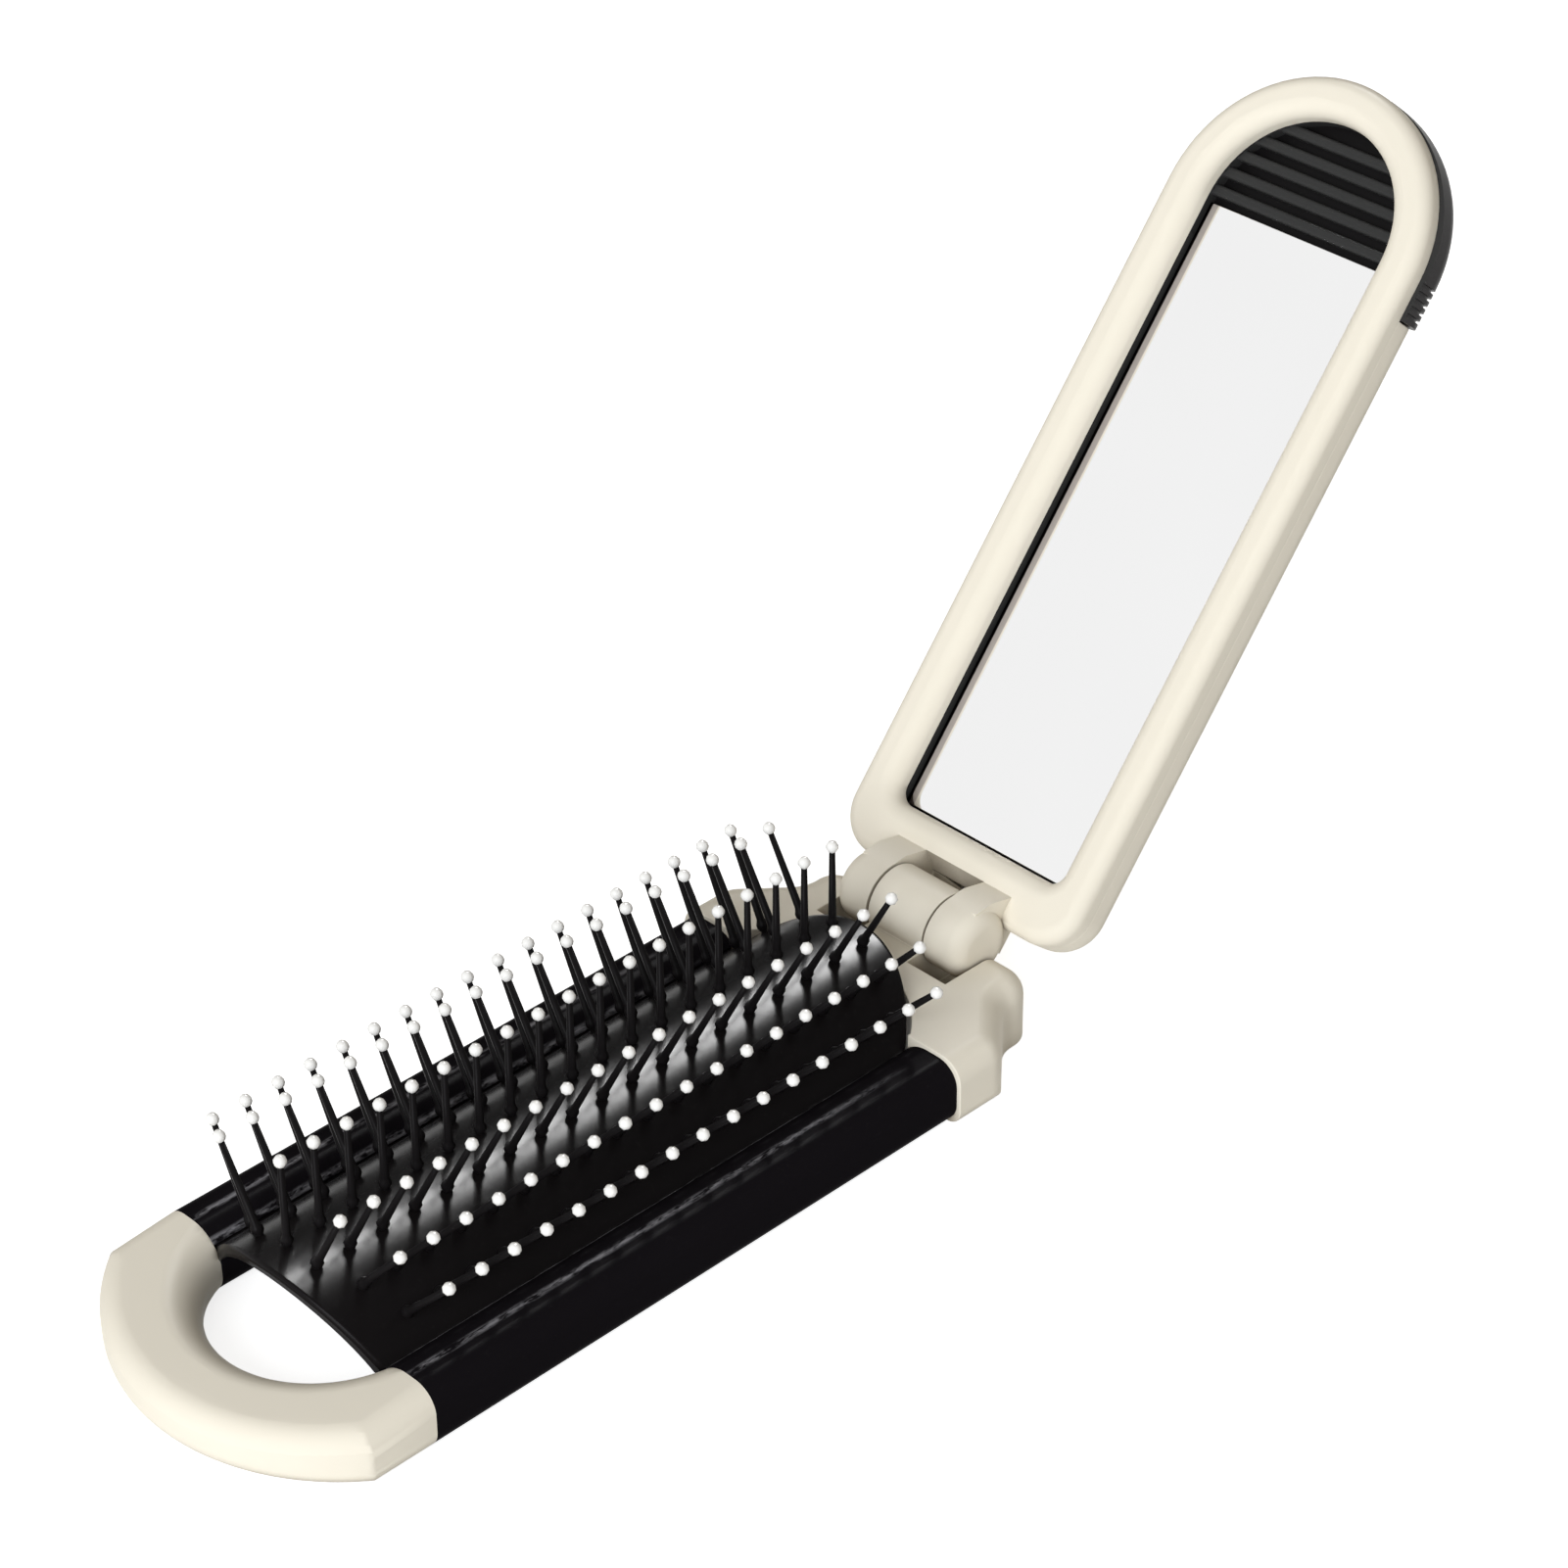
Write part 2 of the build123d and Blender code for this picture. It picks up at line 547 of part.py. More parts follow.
def ribbed_core():
    """The black core: a tray under the glass that grows into the ribbed thumb end."""
    seam = COVER_END + COVER_SEAM_GAP
    reach = MIRROR_ROUND_CENTRE + MIRROR_HALF_WIDTH
    half = MIRROR_HALF_WIDTH
    end = back_blank() & block(seam, reach, -half, half, COVER_BACK, RIM_UNDER)
    rib_floor = RIM_UNDER - RIB_DROP - RIB_HEIGHT
    end -= slab(window_outline(THUMB_WALL_INSET), rib_floor, RIM_UNDER + OVERRUN)
    end += thumb_ribs(rib_floor)
    end -= grip_grooves(seam)
    end -= block(0, GLASS_END + TRAY_FENCE_GAP, -half, half, TRAY_TOP, RIM_UNDER + OVERRUN) & slab(
        window_outline(THUMB_WALL_INSET), TRAY_TOP, RIM_UNDER + OVERRUN
    )
    return end + glass_tray(seam)


def glass_tray(seam):
    """The thin tray that lies in the cover, with a fence each side of the glass up to the rim."""
    inset = COVER_WALL + TRAY_GAP
    outline = long_outline(
        MIRROR_START + inset + KNUCKLE_SWING_GAP, MIRROR_HALF_WIDTH - inset, MIRROR_CORNER_ROUND - inset
    )
    along = block(0, seam, -MIRROR_HALF_WIDTH, MIRROR_HALF_WIDTH, COVER_BACK, RIM_UNDER)
    tray = slab(outline, TRAY_UNDER, TRAY_TOP) & along
    fence = GLASS_HALF_WIDTH + TRAY_FENCE_GAP
    for side in (-1, 1):
        ends = sorted((side * fence, side * (fence + TRAY_FENCE_WIDTH)))
        tray += block(GLASS_START, seam, ends[0], ends[1], TRAY_TOP, RIM_UNDER - TRAY_GAP)
    return tray - middle_knuckle_room()


def thumb_ribs(floor):
    """The ribs across the thumb end, cut off by the hollow's round outline."""
    ribs = None
    half = MIRROR_HALF_WIDTH
    for index in range(RIB_COUNT):
        start = GLASS_END + RIB_END_GAP + index * RIB_PITCH
        rib = block(start, start + RIB_WIDTH, -half, half, floor, floor + RIB_HEIGHT)
        ribs = rib if ribs is None else ribs + rib
    return ribs & slab(window_outline(THUMB_WALL_INSET), floor, floor + RIB_HEIGHT)


def grip_grooves(seam):
    """Fine grooves round the back and sides of the thumb end, just past its seam."""
    half = MIRROR_HALF_WIDTH
    ring = block(seam, seam + OVERRUN, -half, half, COVER_BACK, RIM_UNDER)
    inner_half = half - GRIP_GROOVE_DEPTH
    floor = COVER_BACK + GRIP_GROOVE_DEPTH
    core = block(seam - OVERRUN, seam + 2 * OVERRUN, -inner_half, inner_half, floor, RIM_UNDER + OVERRUN)
    bottom = core.edges().filter_by(Axis.X).group_by(Axis.Z)[0]
    ring -= fillet(bottom, COVER_ROUND)
    ring &= block(seam, seam + GRIP_GROOVE_WIDTH, -half, half, COVER_BACK, RIM_UNDER)
    grooves = None
    for index in range(GRIP_GROOVE_COUNT):
        groove = Pos(GRIP_GROOVE_START + index * GRIP_GROOVE_PITCH, 0, 0) * ring
        grooves = groove if grooves is None else grooves + groove
    return grooves


def mirror_glass():
    """The flat glass."""
    half = GLASS_HALF_WIDTH
    return block(GLASS_START, GLASS_END, -half, half, ADHESIVE_TOP, GLASS_TOP)


def glass_adhesive():
    """The sheet of adhesive between the tray and the glass."""
    half = GLASS_HALF_WIDTH - ADHESIVE_INSET
    return block(GLASS_START + ADHESIVE_INSET, GLASS_END - ADHESIVE_INSET, -half, half, TRAY_TOP, ADHESIVE_TOP)


def hinge_pin():
    """The pin through all three knuckles, blind in the near one."""
    near = HINGE_PIN_BLIND_WALL - OUTER_KNUCKLE_END + HINGE_PIN_END_GAP
    far = OUTER_KNUCKLE_END - HINGE_PIN_END_GAP
    return bar_along_y(HINGE_PIN_RADIUS, near, far)


def turned_up(piece):
    """A piece of the mirror half, put on the hinge axis and turned up to the open pose."""
    return Pos(HINGE_X, 0, HINGE_HEIGHT) * Rot(0, -OPEN_INCLINE_DEGREES, 0) * piece


def all_nodes():
    """Every piece by its name."""
    nodes = {
        "end_loop": end_loop(),
        "side_rail_far": side_rail(1),
        "side_rail_near": side_rail(-1),
        "hinge_end_cap": hinge_end_cap(),
        "bristle_pad": bristle_pad(),
        "hinge_pin": turned_up(hinge_pin()),
        "mirror_frame": turned_up(mirror_frame()),
        "back_cover": turned_up(back_cover()),
        "ribbed_core": turned_up(ribbed_core()),
        "mirror_glass": turned_up(mirror_glass()),
        "glass_adhesive": turned_up(glass_adhesive()),
    }
    for row in range(len(PIN_ROOT_SHARES)):
        nodes[f"pins_row_{row + 1}"] = pins_row(row)
        nodes[f"pin_tips_row_{row + 1}"] = pin_tips_row(row)
    return nodes


os.makedirs("parts", exist_ok=True)
for name, piece in all_nodes().items():
    export_step(piece, f"parts/{name}.step")
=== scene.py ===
import json
from math import pi, radians

import bmesh
import bpy
import numpy as np
from bpy.props import FloatProperty, FloatVectorProperty, IntProperty, PointerProperty
from bpy.types import Operator, Panel, PropertyGroup
from mathutils import Matrix, Vector

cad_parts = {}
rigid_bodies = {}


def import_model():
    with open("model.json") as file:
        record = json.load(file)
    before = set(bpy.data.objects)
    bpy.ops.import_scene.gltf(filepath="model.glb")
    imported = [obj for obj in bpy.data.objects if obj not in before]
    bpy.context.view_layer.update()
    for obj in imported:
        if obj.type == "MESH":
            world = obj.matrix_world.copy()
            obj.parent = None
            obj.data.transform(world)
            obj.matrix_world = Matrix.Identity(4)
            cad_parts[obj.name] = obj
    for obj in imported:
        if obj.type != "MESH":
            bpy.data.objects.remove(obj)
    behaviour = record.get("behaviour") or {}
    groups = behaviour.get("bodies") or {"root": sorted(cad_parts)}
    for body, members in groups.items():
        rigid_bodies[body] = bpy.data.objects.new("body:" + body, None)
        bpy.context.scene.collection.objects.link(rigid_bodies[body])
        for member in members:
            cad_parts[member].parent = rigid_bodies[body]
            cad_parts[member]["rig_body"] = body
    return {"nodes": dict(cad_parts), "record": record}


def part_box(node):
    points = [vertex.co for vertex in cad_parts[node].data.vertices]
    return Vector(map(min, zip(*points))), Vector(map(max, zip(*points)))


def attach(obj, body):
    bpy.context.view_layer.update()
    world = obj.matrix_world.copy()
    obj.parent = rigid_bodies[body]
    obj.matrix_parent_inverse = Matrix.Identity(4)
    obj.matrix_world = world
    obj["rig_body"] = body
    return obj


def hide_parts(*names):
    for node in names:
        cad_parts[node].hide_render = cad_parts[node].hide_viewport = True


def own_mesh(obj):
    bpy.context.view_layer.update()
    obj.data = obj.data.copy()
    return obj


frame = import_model()

bl_info = {
    "name": "Pocket Mirror Comb",
    "version": (1, 0, 0),
    "blender": (4, 5, 0),
    "location": "3D View > Sidebar > Mirror Comb",
    "description": "Finishes a folding pocket hair brush with a mirror",
    "category": "Object",
}

# Names of the frame's own pieces
CREAM_NODES = ("end_loop", "hinge_end_cap", "mirror_frame", "back_cover")
RAIL_NODES = ("side_rail_near", "side_rail_far")
ROWS = (1, 2, 3, 4, 5, 6)

# Finish of the CAD surfaces: distance in metres at which points merge, angles in radians
MERGE_DISTANCE = 0.000003
FLAT_ANGLE = radians(0.8)
SHARP_ANGLE = radians(38)
EDGE_SEGMENTS = 2

# Pad, in metres
PAD_FLANGE_WIDTH = 0.0013
PAD_FLANGE_THICKNESS = 0.0010
PAD_FLANGE_END_GAP = 0.0004
PAD_SHEET = 0.0012
PAD_FRONT_BULGE = 0.0026
PAD_BACK_BULGE = 0.0064
PAD_CREASE_REACH = 0.0005
PAD_CREASE_RISE = 0.00035
PAD_TOP_PLAY = 0.0003

# Pad: its ripple's two waves in radians per metre along and across, and the powers by which the crease, the
# pins' swelling and the unevenness die out
PAD_RIPPLE_WAVES = ((610.0, 230.0), (270.0, -410.0))
PAD_CREASE_POWER = 30
PAD_SWELLING_POWER = 4
PAD_CALM_POWER = 6

# Pad: the grid of its points, a little closer at its ends and at its long edges
PAD_ROWS = 230
PAD_STEPS_ACROSS = 91
PAD_STEP_POWER = 0.92
PAD_END_SHARE = 0.15

# Pins and ball tips, in metres, with the decimals to which a pin's points are rounded and the latitudes of
# a ball's rings
PIN_SEAT = 0.0007
PIN_SPACING_GAP = 0.001
PIN_TOP_SINK = 0.0003
PIN_POINT_DIGITS = 7
PIN_BULB_HEIGHTS = np.array([-0.0006, 0.0, 0.0002, 0.00045, 0.0008, 0.0011, 0.0014])
PIN_RADII = np.array([0.00038, 0.00038, 0.00052, 0.00066, 0.00066, 0.00053, 0.00043, 0.00031])
BALL_RADIUS = 0.00068
BALL_LATITUDES = np.radians(np.array([-78.0, -48.0, -16.0, 16.0, 48.0, 78.0]))

# Mirror half, in metres: its hinge, and the ways of its length and its face
HINGE = (0.006, 0.0, 0.0089)
MIRROR_LENGTH_WAY = (0.6428, 0.0, 0.7660)
MIRROR_FACE_WAY = (-0.7660, 0.0, 0.6428)

# Core's thumb end, in metres: its places lie along the mirror half from the hinge or out of its face, its
# wall lies at a distance from the arch's line, and the swell is a share
THUMB_SEAM = 0.0762
ARCH_CENTRE = 0.0806
THUMB_WALL = 0.0122
THUMB_SWELL = 0.045
RIB_FLOOR = -0.0064
RIB_FLOOR_LEVEL = -0.0061
RIB_TOP = -0.0049
RIB_LEVEL_PLAY = 0.00004
RIB_LONG_EDGE = 0.004
RIB_ROUND = 0.00042
RIB_SEGMENTS = 4

# Mirror glass: its haze and wipe marks, the reach of its edge strips in metres (a painted shadow and a painted
# reflection of the shaded rim), how sharply they end, and the colours
GLASS_HAZE = 0.03
GLASS_MARKS = 0.05
GLASS_SHADOW_EDGE = 0.0005
GLASS_REFLECTION_EDGE = 0.0012
GLASS_SHADOW_FOOT = 0.0001
GLASS_REFLECTION_FOOT = 0.0006
GLASS_EDGE_GAIN = 12000.0
GLASS_PAINTED_SHADOW_COLOUR = (0.012, 0.010, 0.010)
GLASS_PAINTED_REFLECTION_COLOUR = (0.54, 0.52, 0.55)
SILVER_COLOURS = ((0.86, 0.86, 0.86), (0.90, 0.90, 0.90))

# Painted highlight lines along the rails, in place of their gloss: distance from the middle and half width of
# each, lowest height, end and fade along the comb, in metres, then the noise that breaks them and how sharply
# they begin
PAINTED_HIGHLIGHT_LINES = ((0.01290, 0.00040), (0.01590, 0.00050))
PAINTED_HIGHLIGHT_LOWEST = 0.0055
PAINTED_HIGHLIGHT_END = -0.012
PAINTED_HIGHLIGHT_FADE = 0.016
PAINTED_HIGHLIGHT_NOISE_STRETCH = (420.0, 1800.0, 300.0)
PAINTED_HIGHLIGHT_BREAK_START = 0.4
PAINTED_HIGHLIGHT_BREAK_GAIN = 5.0
PAINTED_HIGHLIGHT_HEIGHT_GAIN = 2000.0
PAINTED_HIGHLIGHT_COLOUR = (0.27, 0.265, 0.285)

# Painted shade of the cream plastic in its gaps
PAINTED_GAP_SHADE_COLOUR = (0.22, 0.17, 0.11)
PAINTED_GAP_SHADE_AMOUNT = 1.0
PAINTED_GAP_SHADE_START = 0.42
PAINTED_GAP_SHADE_SAMPLES = 8

# Steel and foam: colours, roughness, and the scales of the steel's rings and of the foam's cells
STEEL_COLOURS = ((0.58, 0.58, 0.59), (0.70, 0.70, 0.71))
STEEL_ROUGHNESS = 0.25
STEEL_ROUGHNESS_SPREAD = 0.15
STEEL_RING_STRETCH = (40.0, 6000.0, 40.0)
FOAM_COLOURS = ((0.60, 0.60, 0.58), (0.82, 0.82, 0.80))
FOAM_ROUGHNESS = 0.9
FOAM_CELL_SCALE = 4000.0

# Dust, pins, and what the black plastic's colour is multiplied by for the other black plastics
DUST_COLOUR = (0.62, 0.60, 0.57)
PIN_COLOUR = (0.0090, 0.0080, 0.0085)
RAIL_BLUE_SHARE = 1.15
CORE_SHARE = 1.8
# Painted shade: the gaps between the ribs are made darker
GAP_PAINTED_SHADE_SHARE = 0.5
# Painted sheen: the rib tops are made lighter grey
RIB_PAINTED_SHEEN_SHARE = 4.6

# Relief of the materials, in metres
GRAIN_RELIEF = 0.00002
FOAM_RELIEF = 0.00005

# Studio: places and sizes in metres, the way to its white wall, and what gloss sees of the other side
FLOOR_HALF = 1.6
FLOOR_GREY = 0.80
FLOOR_GLOW = 0.80
LIGHT_TARGET = (-0.01, 0.0, 0.03)
KEY_PLACE = (-1.45, -0.54, 0.73)
KEY_SIZE = 1.10
KEY_COLOUR = (0.94, 0.97, 1.0)
CARD_PLACE = (0.51, 0.40, 0.76)
CARD_SIZE = 0.28
SURROUND_COLOUR = (1.0, 0.955, 0.88)
WHITE = (1.0, 1.0, 1.0)
WALL_WAY = (-0.73, 0.68, 0.0)
WALL_GAIN = 2.0
WALL_OFFSET = -0.3
GLOSS_SHADE = 0.22

# Photograph's camera: place in metres, the directions of its right, up and forward, its lens and sensor
# in millimetres, and the range that it sees in metres
CAMERA_PLACE = (-0.2768, -0.2706, 0.2869)
CAMERA_RIGHT = (0.713, -0.701, -0.008)
CAMERA_UP = (0.395, 0.392, 0.831)
CAMERA_FORWARD = (0.579, 0.596, -0.556)
CAMERA_LENS = 106.03
CAMERA_SENSOR = 36.0
CAMERA_NEAREST = 0.01
CAMERA_FARTHEST = 10.0


# ---- properties -------------------------------------------------------------------------------


class FinishSettings(PropertyGroup):
    """Colours and edge sizes of the moulded pieces."""

    cream: FloatVectorProperty(
        name="Cream plastic",
        description="Colour of the loop, the cap, the mirror frame and the back cover",
        subtype="COLOR",
        size=3,
        min=0.0,
        max=1.0,
        default=(0.87, 0.815, 0.70),
    )
    black: FloatVectorProperty(
        name="Black plastic",
        description="Colour of the side rails and the pad, and the base of the ribbed core's",
        subtype="COLOR",
        size=3,
        min=0.0,
        max=1.0,
        default=(0.0090, 0.0078, 0.0082),
    )
    tip: FloatVectorProperty(
        name="Ball tips",
        description="Colour of the ball tips",
        subtype="COLOR",
        size=3,
        min=0.0,
        max=1.0,
        default=(0.95, 0.94, 0.92),
    )
    edge: FloatProperty(
        name="Edge round",
        description="Radius that the mould leaves on the sharp edges",
        unit="LENGTH",
        precision=5,
        default=0.00014,
        min=0.0,
    )


class PadSettings(PropertyGroup):
    """Shape of the soft pad and its pins."""

    boss_height: FloatProperty(
        name="Boss height",
        description="How far the pad swells round each pin",
        unit="LENGTH",
        precision=5,
        default=0.00003,
        min=0.0,
    )
    boss_radius: FloatProperty(
        name="Boss radius",
        description="Reach of the swelling round each pin",
        unit="LENGTH",
        precision=5,
        default=0.0010,
        min=0.0001,
    )
    ripple: FloatProperty(
        name="Ripple",
        description="Height of the pad's slow unevenness",
        unit="LENGTH",
        precision=5,
        default=0.00001,
        min=0.0,
    )
    pin_sides: IntProperty(
        name="Pin sides",
        description="Faces round a pin or a ball tip",
        default=8,
        min=5,
    )


class StageSettings(PropertyGroup):
    """Levels of the studio's lights."""

    world: FloatProperty(
        name="Surround",
        description="Level of the light from all round",
        default=0.34,
        min=0.0,
    )
    key: FloatProperty(
        name="Key light",
        description="Power of the softbox beside the camera",
        unit="POWER",
        default=26.5,
        min=0.0,
    )
    card: FloatProperty(
        name="Reflected card",
        description="Power of the card that only gloss shows",
        unit="POWER",
        default=33.0,
        min=0.0,
    )


# ---- mesh helpers -----------------------------------------------------------------------------


def grid_quads(rows, columns):
    """Quads between neighbouring points of a rows by columns grid, its last column joined to its first."""
    i, j = np.meshgrid(np.arange(rows - 1), np.arange(columns), indexing="ij")
    k = (j + 1) % columns
    corners = [i * columns + j, (i + 1) * columns + j, (i + 1) * columns + k, i * columns + k]
    return np.stack(corners, axis=-1).reshape(-1, 4)


def values_of(items, name, width, kind):
    """One attribute of every item of a mesh, as an array with a row for each."""
    values = np.empty(len(items) * width, kind)
    items.foreach_get(name, values)
    return values.reshape(-1, width)


def new_piece(name, points, faces, material, body, slot, *nodes):
    """An object from points and faces, outward and smooth, that rides on a body and replaces CAD nodes."""
    mesh = bpy.data.meshes.new(name)
    mesh.from_pydata(np.asarray(points).reshape(-1, 3).tolist(), [], faces)
    shell = bmesh.new()
    shell.from_mesh(mesh)
    bmesh.ops.recalc_face_normals(shell, faces=shell.faces)
    shell.to_mesh(mesh)
    shell.free()
    mesh.shade_smooth()
    mesh.materials.append(material)
    piece = bpy.data.objects.new(name, mesh)
    bpy.context.scene.collection.objects.link(piece)
    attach(piece, body)
    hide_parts(*nodes)
    return piece


def slot_of(node):
    """The record's material slot of a CAD node."""
    return next(s["material_slot"] for s in frame["record"]["subparts"] if s["node"] == node)


def merged_surface(node):
    """A CAD node's own surface with its loose triangles joined: its points and its faces."""
    shell = bmesh.new()
    shell.from_mesh(frame["nodes"][node].data)
    bmesh.ops.remove_doubles(shell, verts=shell.verts, dist=MERGE_DISTANCE)
    bmesh.ops.dissolve_limit(shell, angle_limit=FLAT_ANGLE, verts=shell.verts, edges=shell.edges)
    points = np.array([tuple(v.co) for v in shell.verts])
    faces = [[v.index for v in f.verts] for f in shell.faces]
    shell.free()
    return points, faces


def keep_faces_flat(piece):
    """Turns a piece's normals to its larger faces, so that they look flat beside their rounded edges."""
    normals = piece.modifiers.new("flat_faces_stay_flat", "WEIGHTED_NORMAL")
    normals.keep_sharp = True


def moulded_copy(node, edge, material):
    """A CAD node finished as a moulded piece, its sharp edges rounded as the mould leaves them."""
    points, faces = merged_surface(node)
    body = frame["nodes"][node]["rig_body"]
    piece = new_piece(node + "_finished", points, faces, material, body, slot_of(node), node)
    bevel = piece.modifiers.new("mould_edges", "BEVEL")
    bevel.width = edge
    bevel.segments = EDGE_SEGMENTS
    bevel.limit_method = "ANGLE"
    bevel.angle_limit = SHARP_ANGLE
    keep_faces_flat(piece)


# ---- shader helpers ---------------------------------------------------------------------------


def feed(tree, node, socket, value):
    """Sets a node's socket to a value, or links it from another socket; None leaves it as it is."""
    if isinstance(value, bpy.types.NodeSocket):
        tree.links.new(value, node.inputs[socket])
    elif value is not None:
        node.inputs[socket].default_value = value


def arithmetic(tree, operation, a, b=None, c=None, clamp=False):
    """A Math node's result."""
    node = tree.nodes.new("ShaderNodeMath")
    node.operation = operation
    node.use_clamp = clamp
    for index, value in enumerate((a, b, c)):
        feed(tree, node, index, value)
    return node.outputs[0]


def distance(tree, value, middle):
    """How far a value lies from a middle one."""
    return arithmetic(tree, "ABSOLUTE", arithmetic(tree, "SUBTRACT", value, middle))


def ramp(tree, value, start, gain):
    """0 up to the start, then rising to 1: (value - start) * gain."""
    return arithmetic(tree, "MULTIPLY", arithmetic(tree, "SUBTRACT", value, start), gain, clamp=True)


def object_place(tree):
    """The place of the shaded point, on Object coordinates."""
    return tree.nodes.new("ShaderNodeTexCoord").outputs["Object"]


def separate_place(tree):
    """The place of the shaded point, as a node with X, Y and Z outputs."""
    place = tree.nodes.new("ShaderNodeSeparateXYZ")
    tree.links.new(object_place(tree), place.inputs[0])
    return place


def noise(tree, scale, detail=2.0, roughness=0.5, stretch=None):
    """A Noise texture's value on Object coordinates, stretched where asked."""
    place = object_place(tree)
    if stretch:
        mapping = tree.nodes.new("ShaderNodeMapping")
        mapping.inputs["Scale"].default_value = stretch
        tree.links.new(place, mapping.inputs["Vector"])
        place = mapping.outputs[0]
    node = tree.nodes.new("ShaderNodeTexNoise")
    tree.links.new(place, node.inputs["Vector"])
    feed(tree, node, "Scale", scale)
    feed(tree, node, "Detail", detail)
    feed(tree, node, "Roughness", roughness)
    return node.outputs["Fac"]


def mixed_colour(tree, factor, first, second):
    """One colour or the other by a factor."""
    node = tree.nodes.new("ShaderNodeMix")
    node.data_type = "RGBA"
    tree.links.new(factor, node.inputs["Factor"])
    for socket, value in ((node.inputs["A"], first), (node.inputs["B"], second)):
        if isinstance(value, bpy.types.NodeSocket):
            tree.links.new(value, socket)
        else:
            socket.default_value = (*value, 1.0)
    return node.outputs["Result"]


def add_relief(tree, shader, height, distance_up, strength=None):
    """Bumps a shader's normal by a height."""
    relief = tree.nodes.new("ShaderNodeBump")
    feed(tree, relief, "Strength", strength)
    feed(tree, relief, "Distance", distance_up)
    feed(tree, relief, "Height", height)
    tree.links.new(relief.outputs[0], shader.inputs["Normal"])


# ---- shader groups ----------------------------------------------------------------------------


def value_group(name, inputs, outputs):
    """A shader node group with float inputs and outputs: its tree, its input node and its output node."""
    tree = bpy.data.node_groups.new(name, "ShaderNodeTree")
    for label, default in inputs:
        socket = tree.interface.new_socket(label, in_out="INPUT", socket_type="NodeSocketFloat")
        socket.default_value = default
    for label in outputs:
        tree.interface.new_socket(label, in_out="OUTPUT", socket_type="NodeSocketFloat")
    return tree, tree.nodes.new("NodeGroupInput"), tree.nodes.new("NodeGroupOutput")


def moulded_surface_group():
    """Moulded plastic: slow flow clouds in tone and gloss, and a fine grain left by the mould.

    Roughness out = roughness + spread * (flow - 0.5) + spread * (grain - 0.5).
    """
    tree, start, end = value_group(
        "moulded_surface",
        [("Flow Scale", 60.0), ("Grain Scale", 2600.0), ("Roughness", 0.35), ("Spread", 0.1)],
        ["Tone", "Roughness", "Height"],
    )
    flow = noise(tree, start.outputs["Flow Scale"], detail=3.0)
    grain = noise(tree, start.outputs["Grain Scale"], detail=1.0)
    parts = [
        arithmetic(tree, "MULTIPLY", arithmetic(tree, "SUBTRACT", value, 0.5), start.outputs["Spread"])
        for value in (flow, grain)
    ]
    both = arithmetic(tree, "ADD", *parts)
    rough = arithmetic(tree, "ADD", both, start.outputs["Roughness"], clamp=True)
    tree.links.new(flow, end.inputs["Tone"])
    tree.links.new(rough, end.inputs["Roughness"])
    tree.links.new(grain, end.inputs["Height"])
    return tree


def handling_marks_group():
    """Hairline scuffs from handling: stretched noise cut to thin lines, stronger in slow patches."""
    tree, start, end = value_group("handling_marks", [("Amount", 0.3)], ["Mask"])
    lines = noise(tree, scale=900.0, detail=4.0, roughness=0.6, stretch=(0.12, 1.0, 1.0))
    thin = arithmetic(tree, "SUBTRACT", 1.0, distance(tree, lines, 0.5))
    cut = ramp(tree, thin, start=0.985, gain=66.0)
    patch = ramp(tree, noise(tree, scale=45.0), start=0.45, gain=4.0)
    mask = arithmetic(tree, "MULTIPLY", cut, patch)
    tree.links.new(arithmetic(tree, "MULTIPLY", mask, start.outputs["Amount"]), end.inputs["Mask"])
    return tree


def settled_dust_group():
    """Dust on faces that look up: the upward share of the normal times specks of noise."""
    tree, start, end = value_group("settled_dust", [("Amount", 0.1)], ["Mask"])
    upward = tree.nodes.new("ShaderNodeSeparateXYZ")
    tree.links.new(tree.nodes.new("ShaderNodeNewGeometry").outputs["Normal"], upward.inputs[0])
    up = arithmetic(tree, "MULTIPLY", upward.outputs["Z"], 1.0, clamp=True)
    specks = ramp(tree, noise(tree, scale=1500.0), start=0.62, gain=8.0)
    mask = arithmetic(tree, "MULTIPLY", up, specks)
    tree.links.new(arithmetic(tree, "MULTIPLY", mask, start.outputs["Amount"]), end.inputs["Mask"])
    return tree


def painted_gap_shade_group():
    """Painted shade in narrow gaps: what is closed off within a short reach, past a starting share."""
    tree, start, end = value_group("painted_gap_shade", [("Reach", 0.0045), ("Amount", 0.5)], ["Mask"])
    gap = tree.nodes.new("ShaderNodeAmbientOcclusion")
    gap.samples = PAINTED_GAP_SHADE_SAMPLES
    tree.links.new(start.outputs["Reach"], gap.inputs["Distance"])
    closed = arithmetic(tree, "SUBTRACT", 1.0 - PAINTED_GAP_SHADE_START, gap.outputs["AO"])
    closed = arithmetic(tree, "DIVIDE", closed, 1.0 - PAINTED_GAP_SHADE_START, clamp=True)
    tree.links.new(arithmetic(tree, "MULTIPLY", closed, start.outputs["Amount"]), end.inputs["Mask"])
    return tree


GROUP_MAKERS = {
    "moulded_surface": moulded_surface_group,
    "handling_marks": handling_marks_group,
    "settled_dust": settled_dust_group,
    "painted_gap_shade": painted_gap_shade_group,
}


def place_group(tree, name, **values):
    """A shared group, built the first time it is asked for, placed with this material's values."""
    node = tree.nodes.new("ShaderNodeGroup")
    node.node_tree = bpy.data.node_groups.get(name) or GROUP_MAKERS[name]()
    for label, value in values.items():
        node.inputs[label].default_value = value
    return node


# ---- materials --------------------------------------------------------------------------------


def plain_material(name):
    """A material with its tree and its Principled shader."""
    material = bpy.data.materials.get(name) or bpy.data.materials.new(name)
    material.use_nodes = True
    return material, material.node_tree, material.node_tree.nodes["Principled BSDF"]


